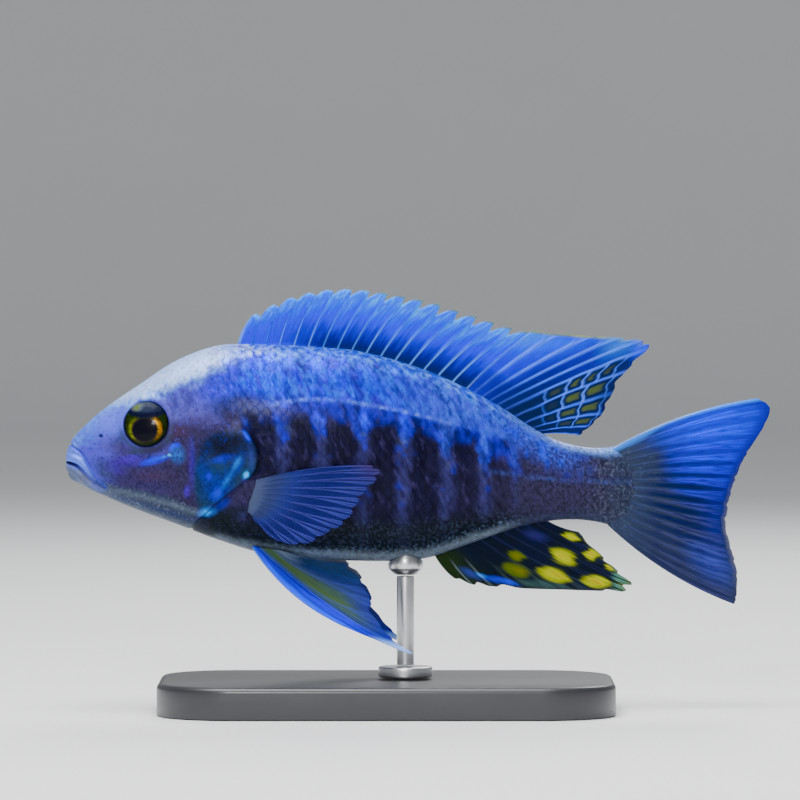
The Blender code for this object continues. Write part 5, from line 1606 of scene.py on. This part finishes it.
def makeCollar(steel):
    # A cup under the belly: rings of growing radius whose top follows the belly a hair below it
    low, high = boxOf("stand_collar")
    x, outer, rod = (low[0] + high[0]) / 2, stand["collarRadius"], stand["rodRadius"]
    radii = np.array([rod + 0.5, outer - 0.5, outer - 0.15, outer, outer, outer - 0.12, outer - 0.4,
                      1.6, 0.5])
    spokes = stand["spokes"]
    heights = np.array([low[2], low[2] + 0.6, low[2] + 0.95, low[2] + 1.3, 0, 0, 0, 0, 0])
    points = lathe(x, radii, heights, spokes)
    top = slice(4 * spokes, None)
    under = bellyHeight(points[top, 0], points[top, 1]) - 0.12
    soften = np.repeat(np.array([0.3, 0.1, 0, 0, 0]), spokes)
    points[top, 2] = under - soften
    points, quads, fans = capped(points, spokes)
    return makePiece("stand_cup", points, quads, steel, fans)


def attach(piece, slotName, *nodes):
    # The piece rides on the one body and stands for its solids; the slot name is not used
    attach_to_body(piece, "root")
    if nodes:
        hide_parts(*nodes)


def makeStand():
    # A lacquered base, and a foot, a rod and a collar of one steel
    steel = steelFinish()
    attach(makeBase(), "base", "stand_base")
    attach(makeTurned("stand_flange", "stand_foot", stand["footRadius"], 0.4, steel), "steel", "stand_foot")
    attach(makeTurned("stand_bar", "stand_rod", stand["rodRadius"], 0.12, steel), "steel", "stand_rod")
    attach(makeCollar(steel), "steel", "stand_collar")


# The room: a pale floor that sweeps up all round, soft lights, and the camera
room = dict(floor=1.7, sweep=0.6, middle=[0.05, 0.3, 0.9], spokes=96, target=(-3.5, 0, 57.4),
            distance=1.2, elevation=1.5, azimuth=0, spanAcross=147.31, sensor=36, world=0.32)

# Soft square lamps: name, place, size and power
lamps = [("overhead", (-0.1, -0.14, 0.62), 0.42, 7.2), ("front", (-0.12, -0.85, 0.34), 0.13, 4.6),
         ("rear", (0.15, 0.55, 0.5), 0.34, 3)]


def makeRoom():
    # A flat disc whose edge bends up through a quarter circle
    spokes, (inward, upward) = room["spokes"], quarter(12)
    radii = np.concatenate([room["middle"], room["floor"] + room["sweep"] * upward]) / mm
    heights = np.concatenate([[0, 0, 0], room["sweep"] * inward]) / mm
    points = np.concatenate([lathe(0, radii, heights, spokes), [[0, 0, -axisHeight]]])
    finish = Finish("paleFloor", Roughness=0.6)
    finish.feed(Base_Color=finish.mixed("MIX", finish.noise(60), (0.84, 0.85, 0.86, 1),
                                        (0.87, 0.88, 0.89, 1)))
    floor = makePiece("floor", points, gridFaces(len(radii), spokes, wrap=True), finish.material,
                      poleFans(len(radii), spokes)[:spokes])


def addLight(name, place, size, power):
    # A soft square lamp that faces the fish
    lamp = bpy.data.lights.new(name, "AREA")
    lamp.size, lamp.energy = size, power
    held = bpy.data.objects.new(name, lamp)
    bpy.context.collection.objects.link(held)
    held.location = place
    aim = np.array([0, 0, 0.05]) - np.array(place)
    flat = float(np.hypot(aim[0], aim[1]))
    held.rotation_euler = (float(np.arctan2(flat, -aim[2])), 0, float(np.arctan2(-aim[0], aim[1])))


def addLights():
    # The lamps and a pale, even sky
    for lamp in lamps:
        addLight(*lamp)
    world = bpy.data.worlds.new("studio")
    world.use_nodes = True
    sky = world.node_tree.nodes["Background"].inputs
    sky["Color"].default_value, sky["Strength"].default_value = (0.93, 0.96, 1, 1), room["world"]
    bpy.context.scene.world = world


def addCamera():
    # On a level-headed line to the target; the lens takes in the given width at the target
    lens = bpy.data.cameras.new("camera")
    camera = bpy.data.objects.new("camera", lens)
    bpy.context.collection.objects.link(camera)
    up, around = np.radians(room["elevation"]), np.radians(room["azimuth"])
    back = np.array([np.sin(around) * np.cos(up), -np.cos(around) * np.cos(up), np.sin(up)])
    camera.location = np.array(room["target"]) * mm + back * room["distance"]
    camera.rotation_euler = (np.pi / 2 - up, 0, around)
    lens.sensor_width = room["sensor"]
    lens.lens = room["sensor"] * room["distance"] / (room["spanAcross"] * mm)
    bpy.context.scene.camera = camera


print("skin")
attach(makeSkin(), "skin", "head", "jaw_upper", "jaw_lower", "gill_cover_left", "gill_cover_right",
       "torso", "tail_stalk")
print("scales")
arcs, plates = arcTable(), scaleFinish()
for side, word in sides:
    attach(makeScales(side, word, arcs, plates), "skin")
print("eyes")
glass = eyeFinish()
for side, word in sides:
    attach(makeEye(side, word, glass), "eye", f"eye_{word}")
print("fins")
makeFins()
print("stand")
makeStand()
print("room, lights and camera")
makeRoom()
addLights()
addCamera()
